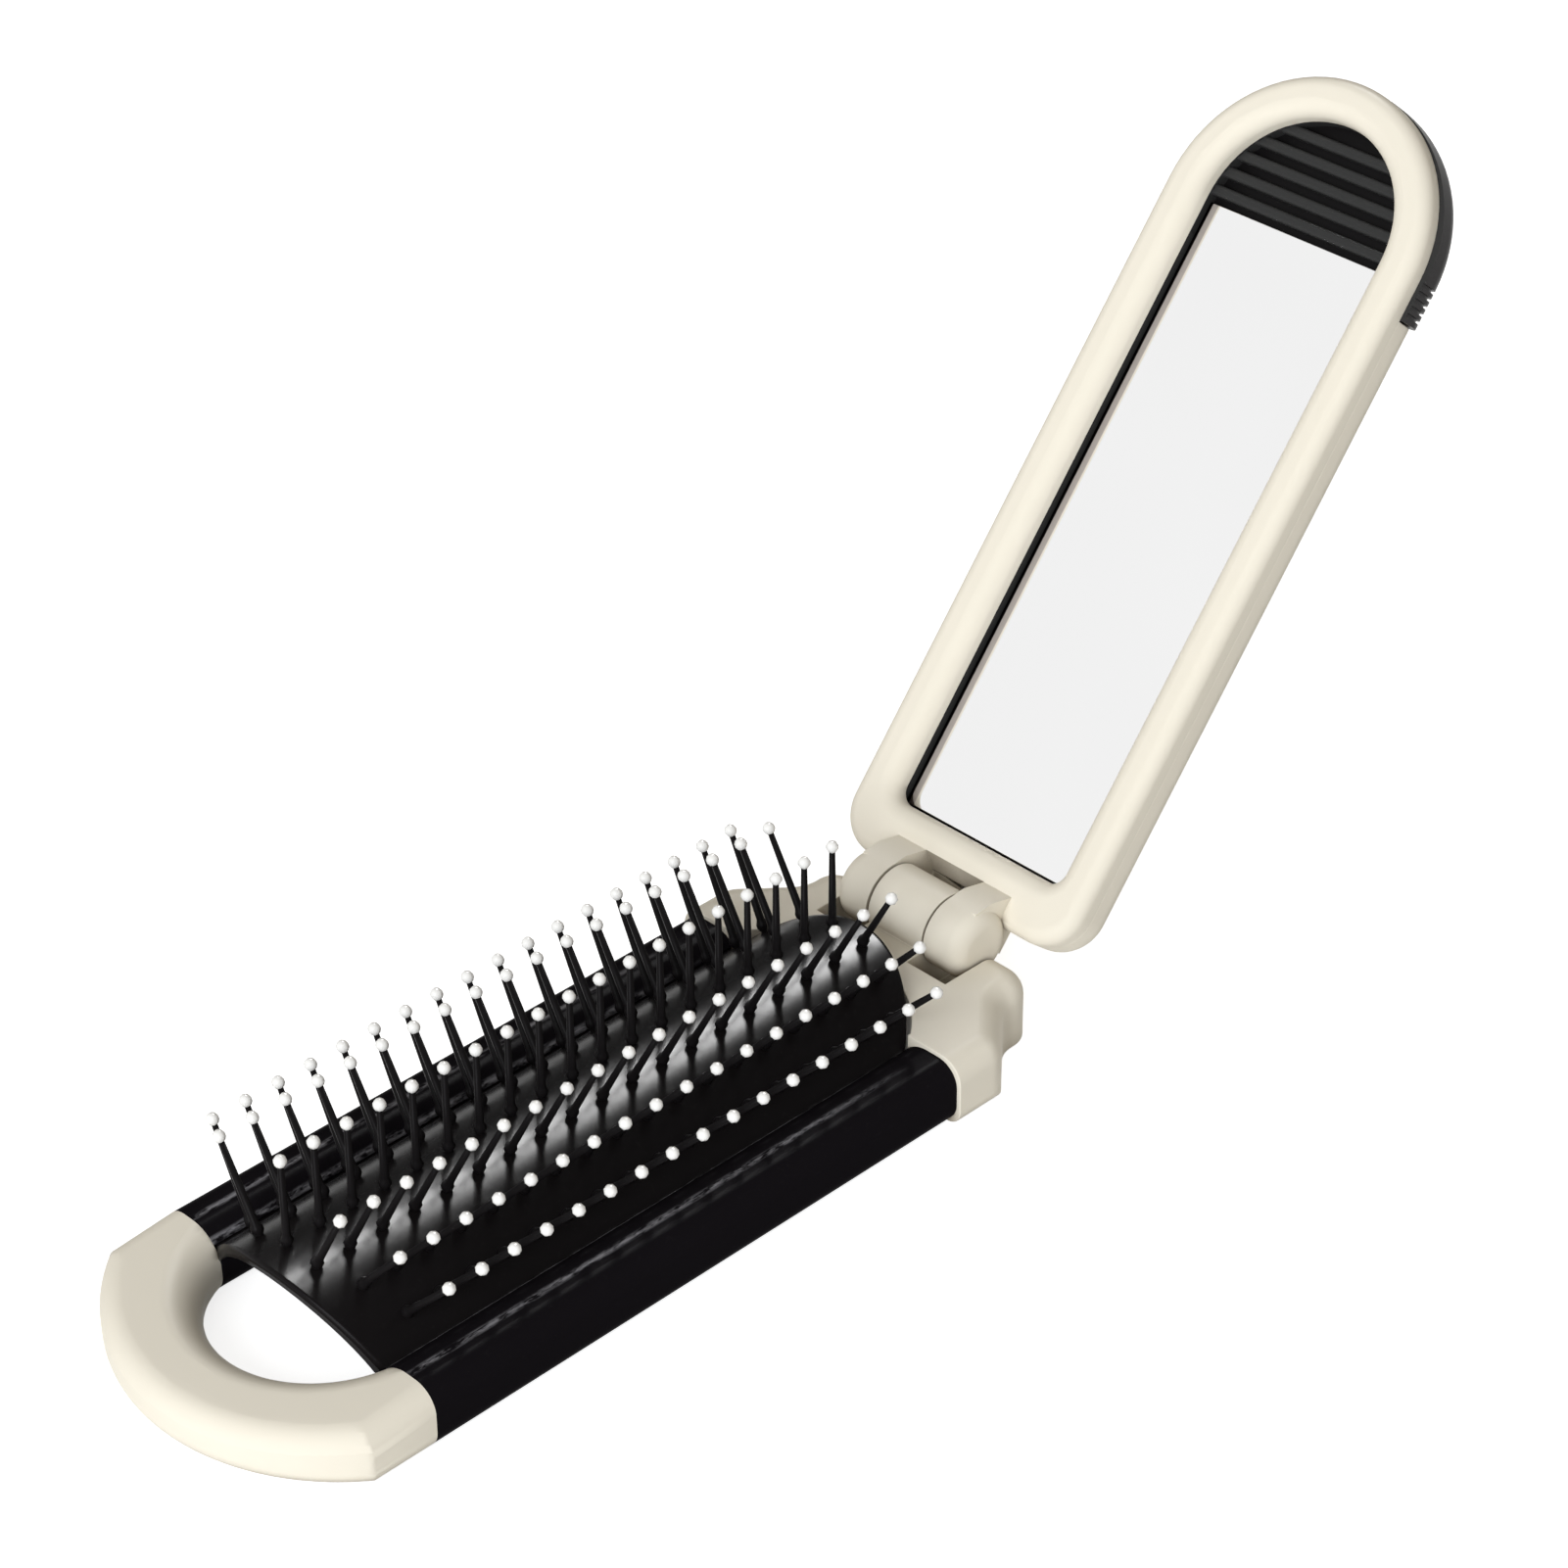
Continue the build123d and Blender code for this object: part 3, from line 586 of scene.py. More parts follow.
def moulded_material(name, colour, roughness, spread, bump, tone, specular, marks=0.0, dust=0.0):
    """Moulded plastic: a tone that drifts, a gloss that varies, fine grain, faint scuffs and dust."""
    material, tree, shader = plain_material(name)
    surface = place_group(tree, "moulded_surface", Roughness=roughness, Spread=spread)
    scuffs = place_group(tree, "handling_marks", Amount=marks)
    specks_and_breaks = place_group(tree, "settled_dust", Amount=dust)
    deep = [channel * (1.0 - tone) for channel in colour]
    toned = mixed_colour(tree, surface.outputs["Tone"], colour, deep)
    feed(tree, shader, "Base Color", mixed_colour(tree, specks_and_breaks.outputs["Mask"], toned, DUST_COLOUR))
    rough = arithmetic(tree, "ADD", surface.outputs["Roughness"], scuffs.outputs["Mask"], clamp=True)
    feed(tree, shader, "Roughness", rough)
    feed(tree, shader, "Specular IOR Level", specular)
    add_relief(tree, shader, surface.outputs["Height"], GRAIN_RELIEF, bump)
    return material


def lay_over(material, mask, colour):
    """Lays a colour over a material's own by a mask."""
    tree = material.node_tree
    base = tree.nodes["Principled BSDF"].inputs["Base Color"]
    tree.links.new(mixed_colour(tree, mask, base.links[0].from_socket, colour), base)


def shade_of_black(share):
    """The black plastic's colour times a share."""
    return [channel * share for channel in bpy.context.scene.comb_finish.black]


def cream_material():
    """Cream plastic of the loop, the cap, the mirror frame and the back cover, with painted shade in its gaps.
    """
    colour = list(bpy.context.scene.comb_finish.cream)
    material = moulded_material(
        "cream_plastic", colour, roughness=0.34, spread=0.06, bump=0.04, tone=0.02, specular=0.010, marks=0.06
    )
    # Painted shade: the cream is laid over with brown where its gaps close in
    gaps = place_group(material.node_tree, "painted_gap_shade", Amount=PAINTED_GAP_SHADE_AMOUNT)
    lay_over(material, gaps.outputs["Mask"], PAINTED_GAP_SHADE_COLOUR)
    return material


def painted_highlight_lines(tree):
    """Near 1 on thin broken lines along each rail: a painted highlight on its glossy rounded top.

    Each line is 1 - ||y| - middle| / width. The lines are broken by noise, fade out along the comb
    towards PAINTED_HIGHLIGHT_END and stay above PAINTED_HIGHLIGHT_LOWEST.
    """
    place = separate_place(tree)
    side = arithmetic(tree, "ABSOLUTE", place.outputs["Y"])
    mask = None
    for middle, width in PAINTED_HIGHLIGHT_LINES:
        off = distance(tree, side, middle)
        line = arithmetic(tree, "MULTIPLY_ADD", off, -1.0 / width, 1.0, clamp=True)
        mask = line if mask is None else arithmetic(tree, "MAXIMUM", mask, line)
    specks_and_breaks = noise(tree, scale=1.0, detail=3.0, roughness=0.7, stretch=PAINTED_HIGHLIGHT_NOISE_STRETCH)
    for value, gain, offset in (
        (specks_and_breaks, PAINTED_HIGHLIGHT_BREAK_GAIN, -PAINTED_HIGHLIGHT_BREAK_GAIN * PAINTED_HIGHLIGHT_BREAK_START),
        (place.outputs["X"], -1.0 / PAINTED_HIGHLIGHT_FADE, PAINTED_HIGHLIGHT_END / PAINTED_HIGHLIGHT_FADE),
        (place.outputs["Z"], PAINTED_HIGHLIGHT_HEIGHT_GAIN, -PAINTED_HIGHLIGHT_HEIGHT_GAIN * PAINTED_HIGHLIGHT_LOWEST),
    ):
        share = arithmetic(tree, "MULTIPLY_ADD", value, gain, offset, clamp=True)
        mask = arithmetic(tree, "MULTIPLY", mask, share)
    return mask


def black_material():
    """Black plastic of the rails, with thin painted highlight lines along them."""
    red, green, blue = bpy.context.scene.comb_finish.black
    material = moulded_material(
        "black_plastic",
        [red, green, blue * RAIL_BLUE_SHARE],
        roughness=0.20,
        spread=0.03,
        bump=0.02,
        tone=0.10,
        specular=0.001,
        marks=0.04,
        dust=0.004,
    )
    # Painted highlight: pale broken lines laid over the rails' colour in place of their gloss
    lay_over(material, painted_highlight_lines(material.node_tree), PAINTED_HIGHLIGHT_COLOUR)
    return material


def core_material():
    """Black satin plastic of the core's tray and thumb end."""
    return moulded_material(
        "core_plastic",
        shade_of_black(CORE_SHARE),
        roughness=0.36,
        spread=0.06,
        bump=0.03,
        tone=0.10,
        specular=0.10,
        marks=0.05,
        dust=0.004,
    )


def painted_shade_gap_material():
    """The same plastic between the ribs, painted darker as painted shade in the gaps."""
    return moulded_material(
        "gap_plastic_painted_shade",
        shade_of_black(GAP_PAINTED_SHADE_SHARE),
        roughness=0.55,
        spread=0.06,
        bump=0.02,
        tone=0.10,
        specular=0.10,
    )


def painted_sheen_rib_material():
    """Black plastic painted a little grey on the ribs, as a painted sheen on their tops."""
    grey = sum(bpy.context.scene.comb_finish.black) / 3
    return moulded_material(
        "rib_plastic_painted_sheen", [grey * RIB_PAINTED_SHEEN_SHARE] * 3, roughness=0.34, spread=0.06, bump=0.02, tone=0.10, specular=0.06
    )


def pad_material():
    """Black soft sheet, a little duller than the rails."""
    return moulded_material(
        "pad_rubber",
        list(bpy.context.scene.comb_finish.black),
        roughness=0.24,
        spread=0.03,
        bump=0.02,
        tone=0.10,
        specular=0.05,
        marks=0.04,
        dust=0.004,
    )


def pin_material():
    """Black nylon of the pins."""
    return moulded_material(
        "pin_nylon", PIN_COLOUR, roughness=0.30, spread=0.05, bump=0.02, tone=0.10, specular=0.04, marks=0.03
    )


def tip_material():
    """Off-white ball tips."""
    colour = list(bpy.context.scene.comb_finish.tip)
    return moulded_material(
        "tip_nylon", colour, roughness=0.25, spread=0.04, bump=0.02, tone=0.02, specular=0.15
    )


def painted_edge_shade_masks(tree):
    """Near 1 in the strip of painted shadow and in the strip of painted reflection of the shaded rim that run
    round the glass, inside its edges.

    Distances are taken to the long edges from |y|, and to the foot along the glass's own slope.
    """
    place = separate_place(tree)
    low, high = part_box("mirror_glass")
    run, _, climb = MIRROR_LENGTH_WAY
    side = arithmetic(tree, "SUBTRACT", high[1], arithmetic(tree, "ABSOLUTE", place.outputs["Y"]))
    along = arithmetic(tree, "MULTIPLY_ADD", place.outputs["X"], run, -low[0] * run)
    along = arithmetic(tree, "MULTIPLY_ADD", place.outputs["Z"], climb, along)
    foot = arithmetic(tree, "SUBTRACT", along, low[2] * climb)
    masks = []
    for side_reach, foot_reach in ((GLASS_SHADOW_EDGE, GLASS_SHADOW_FOOT), (GLASS_REFLECTION_EDGE, GLASS_REFLECTION_FOOT)):
        within_side = arithmetic(tree, "SUBTRACT", side_reach, side)
        within_foot = arithmetic(tree, "SUBTRACT", foot_reach, foot)
        nearer = arithmetic(tree, "MAXIMUM", within_side, within_foot)
        masks.append(arithmetic(tree, "MULTIPLY", nearer, GLASS_EDGE_GAIN, clamp=True))
    return masks


def mirror_material():
    """Silvered glass with faint wipe marks, and a painted shadow and a painted reflection of the shaded rim
    along its edges.
    """
    material, tree, shader = plain_material("mirror_glass")
    marks = place_group(tree, "handling_marks", Amount=GLASS_MARKS)
    haze = arithmetic(tree, "MULTIPLY", noise(tree, scale=70.0, detail=3.0), GLASS_HAZE)
    feed(tree, shader, "Roughness", arithmetic(tree, "ADD", haze, marks.outputs["Mask"], clamp=True))
    tinted = mixed_colour(tree, noise(tree, scale=25.0), *SILVER_COLOURS)
    # Painted shade: a shadow strip and a dim strip that copies the shaded rim's reflection, round the glass's
    # edges
    painted_shadow_edge, painted_reflection_edge = painted_edge_shade_masks(tree)
    with_painted_reflection = mixed_colour(tree, painted_reflection_edge, tinted, GLASS_PAINTED_REFLECTION_COLOUR)
    feed(tree, shader, "Base Color", mixed_colour(tree, painted_shadow_edge, with_painted_reflection, GLASS_PAINTED_SHADOW_COLOUR))
    feed(tree, shader, "Metallic", 1.0)
    return material


def steel_material():
    """Turned steel of the hinge pin: fine rings round the pin's own length."""
    material, tree, shader = plain_material("pin_steel")
    rings = noise(tree, scale=1.0, stretch=STEEL_RING_STRETCH)
    rough = arithmetic(tree, "MULTIPLY_ADD", rings, STEEL_ROUGHNESS_SPREAD, STEEL_ROUGHNESS)
    feed(tree, shader, "Base Color", mixed_colour(tree, rings, *STEEL_COLOURS))
    feed(tree, shader, "Roughness", rough)
    feed(tree, shader, "Metallic", 1.0)
    return material


def foam_material():
    """White foam tape with open cells."""
    material, tree, shader = plain_material("foam_tape")
    cells = tree.nodes.new("ShaderNodeTexVoronoi")
    feed(tree, cells, "Scale", FOAM_CELL_SCALE)
    feed(tree, cells, "Vector", object_place(tree))
    feed(tree, shader, "Base Color", mixed_colour(tree, cells.outputs["Distance"], *FOAM_COLOURS))
    feed(tree, shader, "Roughness", FOAM_ROUGHNESS)
    add_relief(tree, shader, cells.outputs["Distance"], FOAM_RELIEF)
    return material


# ---- ribbed core ------------------------------------------------------------------------------


def along_the_mirror(points):
    """Points as lengths from the hinge along the mirror half, across it, and out of its face."""
    from_hinge = points - np.array(HINGE)
    length = from_hinge @ np.array(MIRROR_LENGTH_WAY)
    out = from_hinge @ np.array(MIRROR_FACE_WAY)
    return length, points[:, 1], out


def from_arch_line(length, across):
    """Distance from the middle line up to the arch's centre, and from that centre beyond it."""
    return np.hypot(np.clip(length - ARCH_CENTRE, 0.0, None), across)


def swell_thumb_end(points):
    """Moves the thumb end's outer points sideways, y to y * (1 + swell), so it dies out at the tip."""
    length, across, _ = along_the_mirror(points)
    outer = (length > THUMB_SEAM) & (from_arch_line(length, across) > THUMB_WALL)
    points[:, 1] = np.where(outer, across * (1.0 + THUMB_SWELL), across)


def ribs_and_gaps(mesh):
    """Each face's material: 0 for the core, 1 for the gaps inside the thumb end, 2 for its ribs."""
    centres = values_of(mesh.polygons, "center", 3, np.float32).astype(float)
    length, across, out = along_the_mirror(centres)
    hollow = (from_arch_line(length, across) < THUMB_WALL) & (out > RIB_FLOOR)
    ribs = hollow & (out > RIB_FLOOR_LEVEL + RIB_LEVEL_PLAY)
    return hollow.astype(np.int32) + ribs.astype(np.int32)


def rib_edge_weights(mesh, points):
    """1 for each long edge along a rib's top, and 0 for the others."""
    ends = values_of(mesh.edges, "vertices", 2, np.int32)
    level = np.abs(along_the_mirror(points)[2] - RIB_TOP) < RIB_LEVEL_PLAY
    long_edges = np.abs(points[ends[:, 0], 1] - points[ends[:, 1], 1]) > RIB_LONG_EDGE
    return (level[ends].all(axis=1) & long_edges).astype(np.float32)


def ribbed_core():
    """The core: its thumb end a little proud at the sides, its ribs rounded along the top."""
    points, faces = merged_surface("ribbed_core")
    swell_thumb_end(points)
    body = frame["nodes"]["ribbed_core"]["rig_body"]
    slot = slot_of("ribbed_core")
    piece = new_piece("ribbed_core_finished", points, faces, core_material(), body, slot, "ribbed_core")
    mesh = piece.data
    # Painted shade in the gaps between the ribs, and painted sheen on the ribs
    mesh.materials.append(painted_shade_gap_material())
    mesh.materials.append(painted_sheen_rib_material())
    mesh.polygons.foreach_set("material_index", ribs_and_gaps(mesh))
    weights = mesh.attributes.new("bevel_weight_edge", "FLOAT", "EDGE")
    weights.data.foreach_set("value", rib_edge_weights(mesh, points))
    rounding = piece.modifiers.new("rounded_ribs", "BEVEL")
    rounding.width = RIB_ROUND
    rounding.segments = RIB_SEGMENTS
    rounding.limit_method = "WEIGHT"
    mesh.set_sharp_from_angle(angle=SHARP_ANGLE)
    keep_faces_flat(piece)


# ---- pins and pad -----------------------------------------------------------------------------


def fold_down(piece):
    """Gives the piece its own copy of its mesh."""
    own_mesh(piece)


def clusters(node):
    """The points of each solid of a row, found by the gaps between them along the comb."""
    points = values_of(frame["nodes"][node].data.vertices, "co", 3, np.float32).astype(float)
    points = points[np.argsort(points[:, 0])]
    breaks = np.nonzero(np.diff(points[:, 0]) > PIN_SPACING_GAP)[0] + 1
    return np.split(points, breaks)


def pin_axes(row):
    """Each pin's seat, its ball's centre and its direction, read from the row's CAD nodes."""
    balls = np.array([(c.min(axis=0) + c.max(axis=0)) / 2 for c in clusters(f"pin_tips_row_{row}")])
    pins = clusters(f"pins_row_{row}")
    middles = np.array([np.unique(c.round(PIN_POINT_DIGITS), axis=0).mean(axis=0) for c in pins])
    ways = balls - middles
    ways /= np.linalg.norm(ways, axis=1, keepdims=True)
    depths = np.array([((b - c) @ w).max() for b, c, w in zip(balls, pins, ways)])
    return balls - ways * depths[:, None], balls, ways


def revolved_points(seats, ways, heights, radii, sides):
    """Points on surfaces of revolution: seat + way * height + radius * (cos a across + sin a along)."""
    along = np.cross(ways, np.array([1.0, 0.0, 0.0]))
    along /= np.linalg.norm(along, axis=1, keepdims=True)
    across = np.cross(along, ways)
    turn = np.arange(sides) * 2 * pi / sides
    ring = across[:, None, :] * np.cos(turn)[:, None] + along[:, None, :] * np.sin(turn)[:, None]
    stem = seats[:, None, :] + ways[:, None, :] * heights[:, None]
    return stem[:, :, None, :] + ring[:, None, :, :] * radii[:, None, None]


def revolved_faces(count, rings, sides):
    """Faces of many surfaces of revolution, each closed by a flat face at both ends."""
    size = rings * sides
    firsts = np.arange(count) * size
    walls = (grid_quads(rings, sides)[None, :, :] + firsts[:, None, None]).reshape(-1, 4)
    low = np.arange(sides)[None, :] + firsts[:, None]
    return walls.tolist() + low.tolist() + (low + size - sides).tolist()


def revolved_row(name, node, seats, ways, heights, radii, material):
    """A row of pins or of ball tips as surfaces of revolution, in place of its CAD node."""
    sides = bpy.context.scene.comb_pad.pin_sides
    points = revolved_points(seats, ways, heights, radii, sides)
    faces = revolved_faces(len(seats), len(heights), sides)
    fold_down(new_piece(name, points, faces, material, "brush_half", slot_of(node), node))


def arc_rise(half, rise, across):
    """Height of a circle's arc of a given half width and rise, at a distance from its middle."""
    radius = (half * half + rise * rise) / (2 * rise)
    inside = np.clip(radius * radius - np.square(across), 0.0, None)
    return np.sqrt(inside) - (radius - rise)


def pad_unevenness(x, y, roots, settings):
    """What stands out of the pad's smooth arch.

    A swelling at each pin, boss * exp(-(d / r)^4), and a slow ripple, the product of two sine waves.
    """
    away = np.sqrt(np.square(x[..., None] - roots[:, 0]) + np.square(y[..., None] - roots[:, 1]))
    shares = np.exp(-((away / settings.boss_radius) ** PAD_SWELLING_POWER))
    ripple = settings.ripple
    for along, across in PAD_RIPPLE_WAVES:
        ripple = ripple * np.sin(x * along + y * across)
    return shares.sum(axis=-1) * settings.boss_height + ripple


def pad_points(roots, settings):
    """The pad as a closed strip: its section (flange, arch, flange, and back underneath) carried along X.

    Outer height = foot + arc(y) + crease(|y| - span) + unevenness, the crease being a low bell curve
    where the arch meets its flange. Inner height = the arc of a circle one sheet smaller, down to the
    flange's underside. The ends bulge: x = front(y) + u * (back(y) - front(y)), both arcs over the span.
    """
    low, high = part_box("bristle_pad")
    reach = high[1]
    span = reach - PAD_FLANGE_WIDTH
    foot = low[2] + PAD_FLANGE_THICKNESS
    rise = high[2] - foot
    share = np.linspace(-1.0, 1.0, PAD_STEPS_ACROSS)
    y = reach * np.sign(share) * np.abs(share) ** PAD_STEP_POWER
    on_arch = np.abs(y) < span
    within = np.clip(np.abs(y) / span, 0.0, 1.0)

    front_bulge = np.where(on_arch, arc_rise(span, PAD_FRONT_BULGE, y), -PAD_FLANGE_END_GAP)
    back_bulge = np.where(on_arch, arc_rise(span, PAD_BACK_BULGE, y), -PAD_FLANGE_END_GAP)
    front = low[0] + PAD_FRONT_BULGE - front_bulge
    back = high[0] - PAD_BACK_BULGE + back_bulge
    step = np.linspace(0, 1, PAD_ROWS)
    u = (1 - np.cos(step * pi)) / 2 * PAD_END_SHARE + step * (1 - PAD_END_SHARE)
    x = front[None, :] + u[:, None] * (back - front)[None, :]
    y_all = np.broadcast_to(y, x.shape)

    arch = np.where(on_arch, arc_rise(span, rise, y), 0.0)
    crease = np.exp(-np.square((np.abs(y) - span) / PAD_CREASE_REACH)) * PAD_CREASE_RISE
    smooth = foot + arch + crease * (1 - within ** PAD_CREASE_POWER)
    top = smooth + pad_unevenness(x, y_all, roots, settings) * (1 - within ** PAD_CALM_POWER)
    top = np.minimum(top, high[2] + PAD_TOP_PLAY)

    inner_radius = (span * span + rise * rise) / (2 * rise) - PAD_SHEET
    centre = foot + rise - inner_radius - PAD_SHEET
    inner = centre + np.sqrt(np.clip(inner_radius ** 2 - y ** 2, 0.0, None))
    under = np.broadcast_to(np.maximum(inner, foot - PAD_FLANGE_THICKNESS), x.shape)
    upper = np.stack([x, y_all, top], axis=-1)
    lower = np.stack([x, y_all, under], axis=-1)
    return np.concatenate([upper, lower[:, ::-1]], axis=1)


def pad_faces():
    """The faces of the pad's closed strip and of its two ends."""
    around = 2 * PAD_STEPS_ACROSS
    step = np.arange(PAD_STEPS_ACROSS - 1)
    end = np.stack([step, step + 1, around - 2 - step, around - 1 - step], axis=-1)
    far_end = (end + (PAD_ROWS - 1) * around)[:, ::-1]
    return grid_quads(PAD_ROWS, around).tolist() + end.tolist() + far_end.tolist()


# ---- studio -----------------------------------------------------------------------------------


def seen_directly(tree):
    """1 for rays from the camera, from gloss and through glass, and 0 for the light itself."""
    path = tree.nodes.new("ShaderNodeLightPath")
    gloss = arithmetic(tree, "MAXIMUM", path.outputs["Is Camera Ray"], path.outputs["Is Glossy Ray"])
    return arithmetic(tree, "MAXIMUM", gloss, path.outputs["Is Transmission Ray"])


def floor_under_the_comb():
    """A pale floor at the comb's foot; what the camera and gloss see of it is lifted towards white."""
    mesh = bpy.data.meshes.new("floor")
    signs = ((-1, -1), (1, -1), (1, 1), (-1, 1))
    mesh.from_pydata([(x * FLOOR_HALF, y * FLOOR_HALF, 0.0) for x, y in signs], [], [(0, 1, 2, 3)])
    floor = bpy.data.objects.new("floor", mesh)
    bpy.context.scene.collection.objects.link(floor)
    material, tree, shader = plain_material("pale_floor")
    feed(tree, shader, "Base Color", (FLOOR_GREY, FLOOR_GREY, FLOOR_GREY, 1.0))
    feed(tree, shader, "Roughness", 1.0)
    feed(tree, shader, "Specular IOR Level", 0.0)
    feed(tree, shader, "Emission Color", (*WHITE, 1.0))
    feed(tree, shader, "Emission Strength", arithmetic(tree, "MULTIPLY", seen_directly(tree), FLOOR_GLOW))
    mesh.materials.append(material)


def surround(level):
    """A world that is white where it is seen, gives plain soft light, and has its white wall at the left.

    What gloss sees of it falls from 1 at the wall to GLOSS_SHADE on the other side, by direction . wall.
    """
    world = bpy.data.worlds.new("studio")
    bpy.context.scene.world = world
    world.use_nodes = True
    tree = world.node_tree
    background = tree.nodes["Background"]
    seen = seen_directly(tree)
    feed(tree, background, "Color", mixed_colour(tree, seen, SURROUND_COLOUR, WHITE))
    facing = tree.nodes.new("ShaderNodeVectorMath")
    facing.operation = "DOT_PRODUCT"
    facing.inputs[1].default_value = WALL_WAY
    feed(tree, facing, 0, tree.nodes.new("ShaderNodeTexCoord").outputs["Generated"])
    wall = arithmetic(tree, "MULTIPLY_ADD", facing.outputs["Value"], WALL_GAIN, WALL_OFFSET, clamp=True)
    reflected = arithmetic(tree, "MULTIPLY_ADD", wall, 1.0 - GLOSS_SHADE, GLOSS_SHADE)
    dimming = arithmetic(tree, "SUBTRACT", reflected, 1.0)
    glossy = tree.nodes.new("ShaderNodeLightPath").outputs["Is Glossy Ray"]
    bright = arithmetic(tree, "MULTIPLY_ADD", glossy, dimming, 1.0)
    above_level = arithmetic(tree, "SUBTRACT", bright, level)
    feed(tree, background, "Strength", arithmetic(tree, "MULTIPLY_ADD", seen, above_level, level))


def softbox(name, place, size, power, colour):
    """A square softbox that faces the comb's middle."""
    light = bpy.data.lights.new(name, "AREA")
    light.shape = "SQUARE"
    light.size = size
    light.energy = power
    light.color = colour
    lamp = bpy.data.objects.new(name, light)
    turn = (Vector(place) - Vector(LIGHT_TARGET)).to_track_quat("Z", "Y")
    lamp.matrix_world = Matrix.Translation(place) @ turn.to_matrix().to_4x4()
    bpy.context.scene.collection.objects.link(lamp)
    return lamp


def photograph_camera():
    """The camera that took the photograph."""
    data = bpy.data.cameras.new("photograph")
    data.lens = CAMERA_LENS
    data.sensor_width = CAMERA_SENSOR
    data.clip_start = CAMERA_NEAREST
    data.clip_end = CAMERA_FARTHEST
    camera = bpy.data.objects.new("photograph", data)
    backward = [-v for v in CAMERA_FORWARD]
    rows = [list(row) for row in zip(CAMERA_RIGHT, CAMERA_UP, backward, CAMERA_PLACE)]
    camera.matrix_world = Matrix(rows + [[0.0, 0.0, 0.0, 1.0]])
    bpy.context.scene.collection.objects.link(camera)
    bpy.context.scene.camera = camera


# ---- operators --------------------------------------------------------------------------------


class COMB_OT_cream_pieces(Operator):
    """Finish the loop, the cap, the mirror frame and the back cover in cream plastic"""

    bl_idname = "comb.cream_pieces"
    bl_label = "Cream Pieces"

    def execute(self, context):
        material = cream_material()
        for node in CREAM_NODES:
            moulded_copy(node, context.scene.comb_finish.edge, material)
        return {"FINISHED"}


class COMB_OT_black_pieces(Operator):
    """Finish the side rails and the ribbed core in black plastic"""

    bl_idname = "comb.black_pieces"
    bl_label = "Black Pieces"

    def execute(self, context):
        material = black_material()
        for node in RAIL_NODES:
            moulded_copy(node, context.scene.comb_finish.edge, material)
        ribbed_core()
        return {"FINISHED"}


class COMB_OT_mirror(Operator):
    """Finish the glass, its foam tape and the hinge pin"""

    bl_idname = "comb.mirror"
    bl_label = "Mirror and Pin"

    def execute(self, context):
        moulded_copy("mirror_glass", context.scene.comb_finish.edge, mirror_material())
        for node, material in (("glass_adhesive", foam_material()), ("hinge_pin", steel_material())):
            frame["nodes"][node].material_slots[0].material = material
        return {"FINISHED"}


class COMB_OT_pad(Operator):
    """Make the soft arched pad with a swelling round each pin"""

    bl_idname = "comb.pad"
    bl_label = "Pad"

    def execute(self, context):
        axes = [pin_axes(row) for row in ROWS]
        roots = np.vstack([seats + ways * PIN_SEAT for seats, _, ways in axes])
        points = pad_points(roots, context.scene.comb_pad)
        slot = slot_of("bristle_pad")
        pad = new_piece("soft_pad", points, pad_faces(), pad_material(), "brush_half", slot, "bristle_pad")
        fold_down(pad)
        return {"FINISHED"}


class COMB_OT_pins(Operator):
    """Make the tapered pins, row by row, with a bulb at each root"""

    bl_idname = "comb.pins"
    bl_label = "Pins"

    def execute(self, context):
        material = pin_material()
        for row in ROWS:
            seats, balls, ways = pin_axes(row)
            length = float(np.linalg.norm(balls - seats, axis=1).mean())
            heights = np.array([*(PIN_SEAT + PIN_BULB_HEIGHTS), length - PIN_TOP_SINK])
            revolved_row(f"pins_{row}", f"pins_row_{row}", seats, ways, heights, PIN_RADII, material)
        return {"FINISHED"}


class COMB_OT_ball_tips(Operator):
    """Make the ball tips, row by row"""

    bl_idname = "comb.ball_tips"
    bl_label = "Ball Tips"

    def execute(self, context):
        material = tip_material()
        heights = np.sin(BALL_LATITUDES) * BALL_RADIUS
        radii = np.cos(BALL_LATITUDES) * BALL_RADIUS
        for row in ROWS:
            _, balls, ways = pin_axes(row)
            revolved_row(f"ball_tips_{row}", f"pin_tips_row_{row}", balls, ways, heights, radii, material)
        return {"FINISHED"}


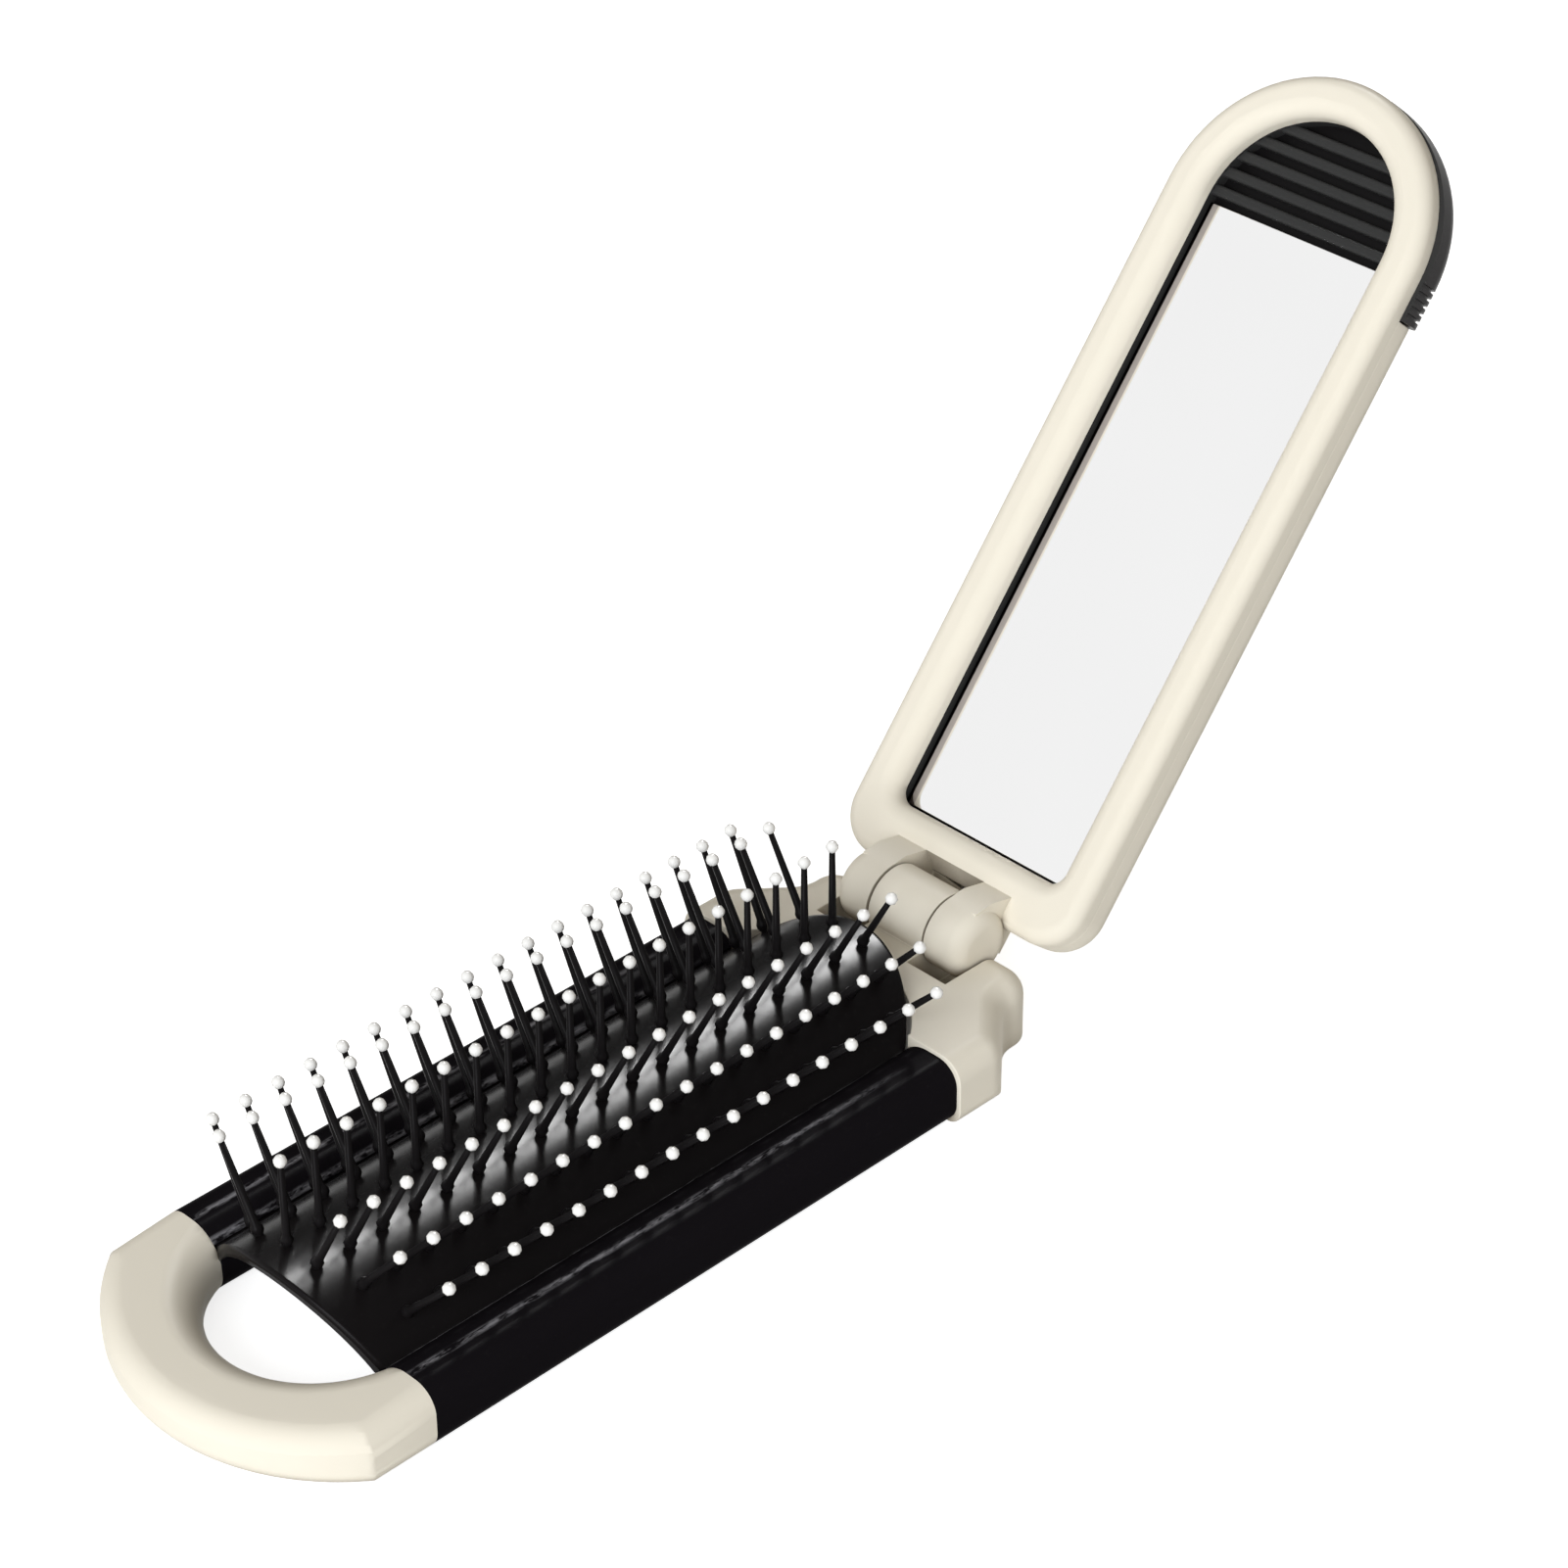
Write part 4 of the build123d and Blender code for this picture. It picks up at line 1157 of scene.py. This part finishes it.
class COMB_OT_stage(Operator):
    """Set the floor, the light and the photograph's camera"""

    bl_idname = "comb.stage"
    bl_label = "Stage"

    def execute(self, context):
        settings = context.scene.comb_stage
        floor_under_the_comb()
        surround(settings.world)
        softbox("key_softbox", KEY_PLACE, KEY_SIZE, settings.key, KEY_COLOUR)
        card = softbox("reflected_card", CARD_PLACE, CARD_SIZE, settings.card, WHITE)
        card.visible_diffuse = False
        photograph_camera()
        context.scene.view_settings.view_transform = "Standard"
        return {"FINISHED"}


class COMB_PT_pieces(Panel):
    """The comb's pieces and settings"""

    bl_label = "Pocket Mirror Comb"
    bl_idname = "COMB_PT_pieces"
    bl_space_type = "VIEW_3D"
    bl_region_type = "UI"
    bl_category = "Mirror Comb"

    def draw(self, context):
        for group in (context.scene.comb_finish, context.scene.comb_pad, context.scene.comb_stage):
            for name in group.bl_rna.properties.keys():
                if name not in ("rna_type", "name"):
                    self.layout.prop(group, name)
        for operator in OPERATORS:
            self.layout.operator(operator.bl_idname)


OPERATORS = (
    COMB_OT_cream_pieces,
    COMB_OT_black_pieces,
    COMB_OT_mirror,
    COMB_OT_pad,
    COMB_OT_pins,
    COMB_OT_ball_tips,
    COMB_OT_stage,
)
CLASSES = (FinishSettings, PadSettings, StageSettings, *OPERATORS, COMB_PT_pieces)


def register():
    """Registers the classes and hangs the settings on the scene."""
    for cls in CLASSES:
        bpy.utils.register_class(cls)
    bpy.types.Scene.comb_finish = PointerProperty(type=FinishSettings)
    bpy.types.Scene.comb_pad = PointerProperty(type=PadSettings)
    bpy.types.Scene.comb_stage = PointerProperty(type=StageSettings)


def unregister():
    """Takes the settings and the classes away again."""
    del bpy.types.Scene.comb_stage
    del bpy.types.Scene.comb_pad
    del bpy.types.Scene.comb_finish
    for cls in reversed(CLASSES):
        bpy.utils.unregister_class(cls)


def main():
    """Registers the add-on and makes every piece."""
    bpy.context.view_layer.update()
    register()
    bpy.ops.comb.cream_pieces()
    bpy.ops.comb.black_pieces()
    bpy.ops.comb.mirror()
    bpy.ops.comb.pad()
    bpy.ops.comb.pins()
    bpy.ops.comb.ball_tips()
    bpy.ops.comb.stage()


if __name__ == "__main__":
    main()
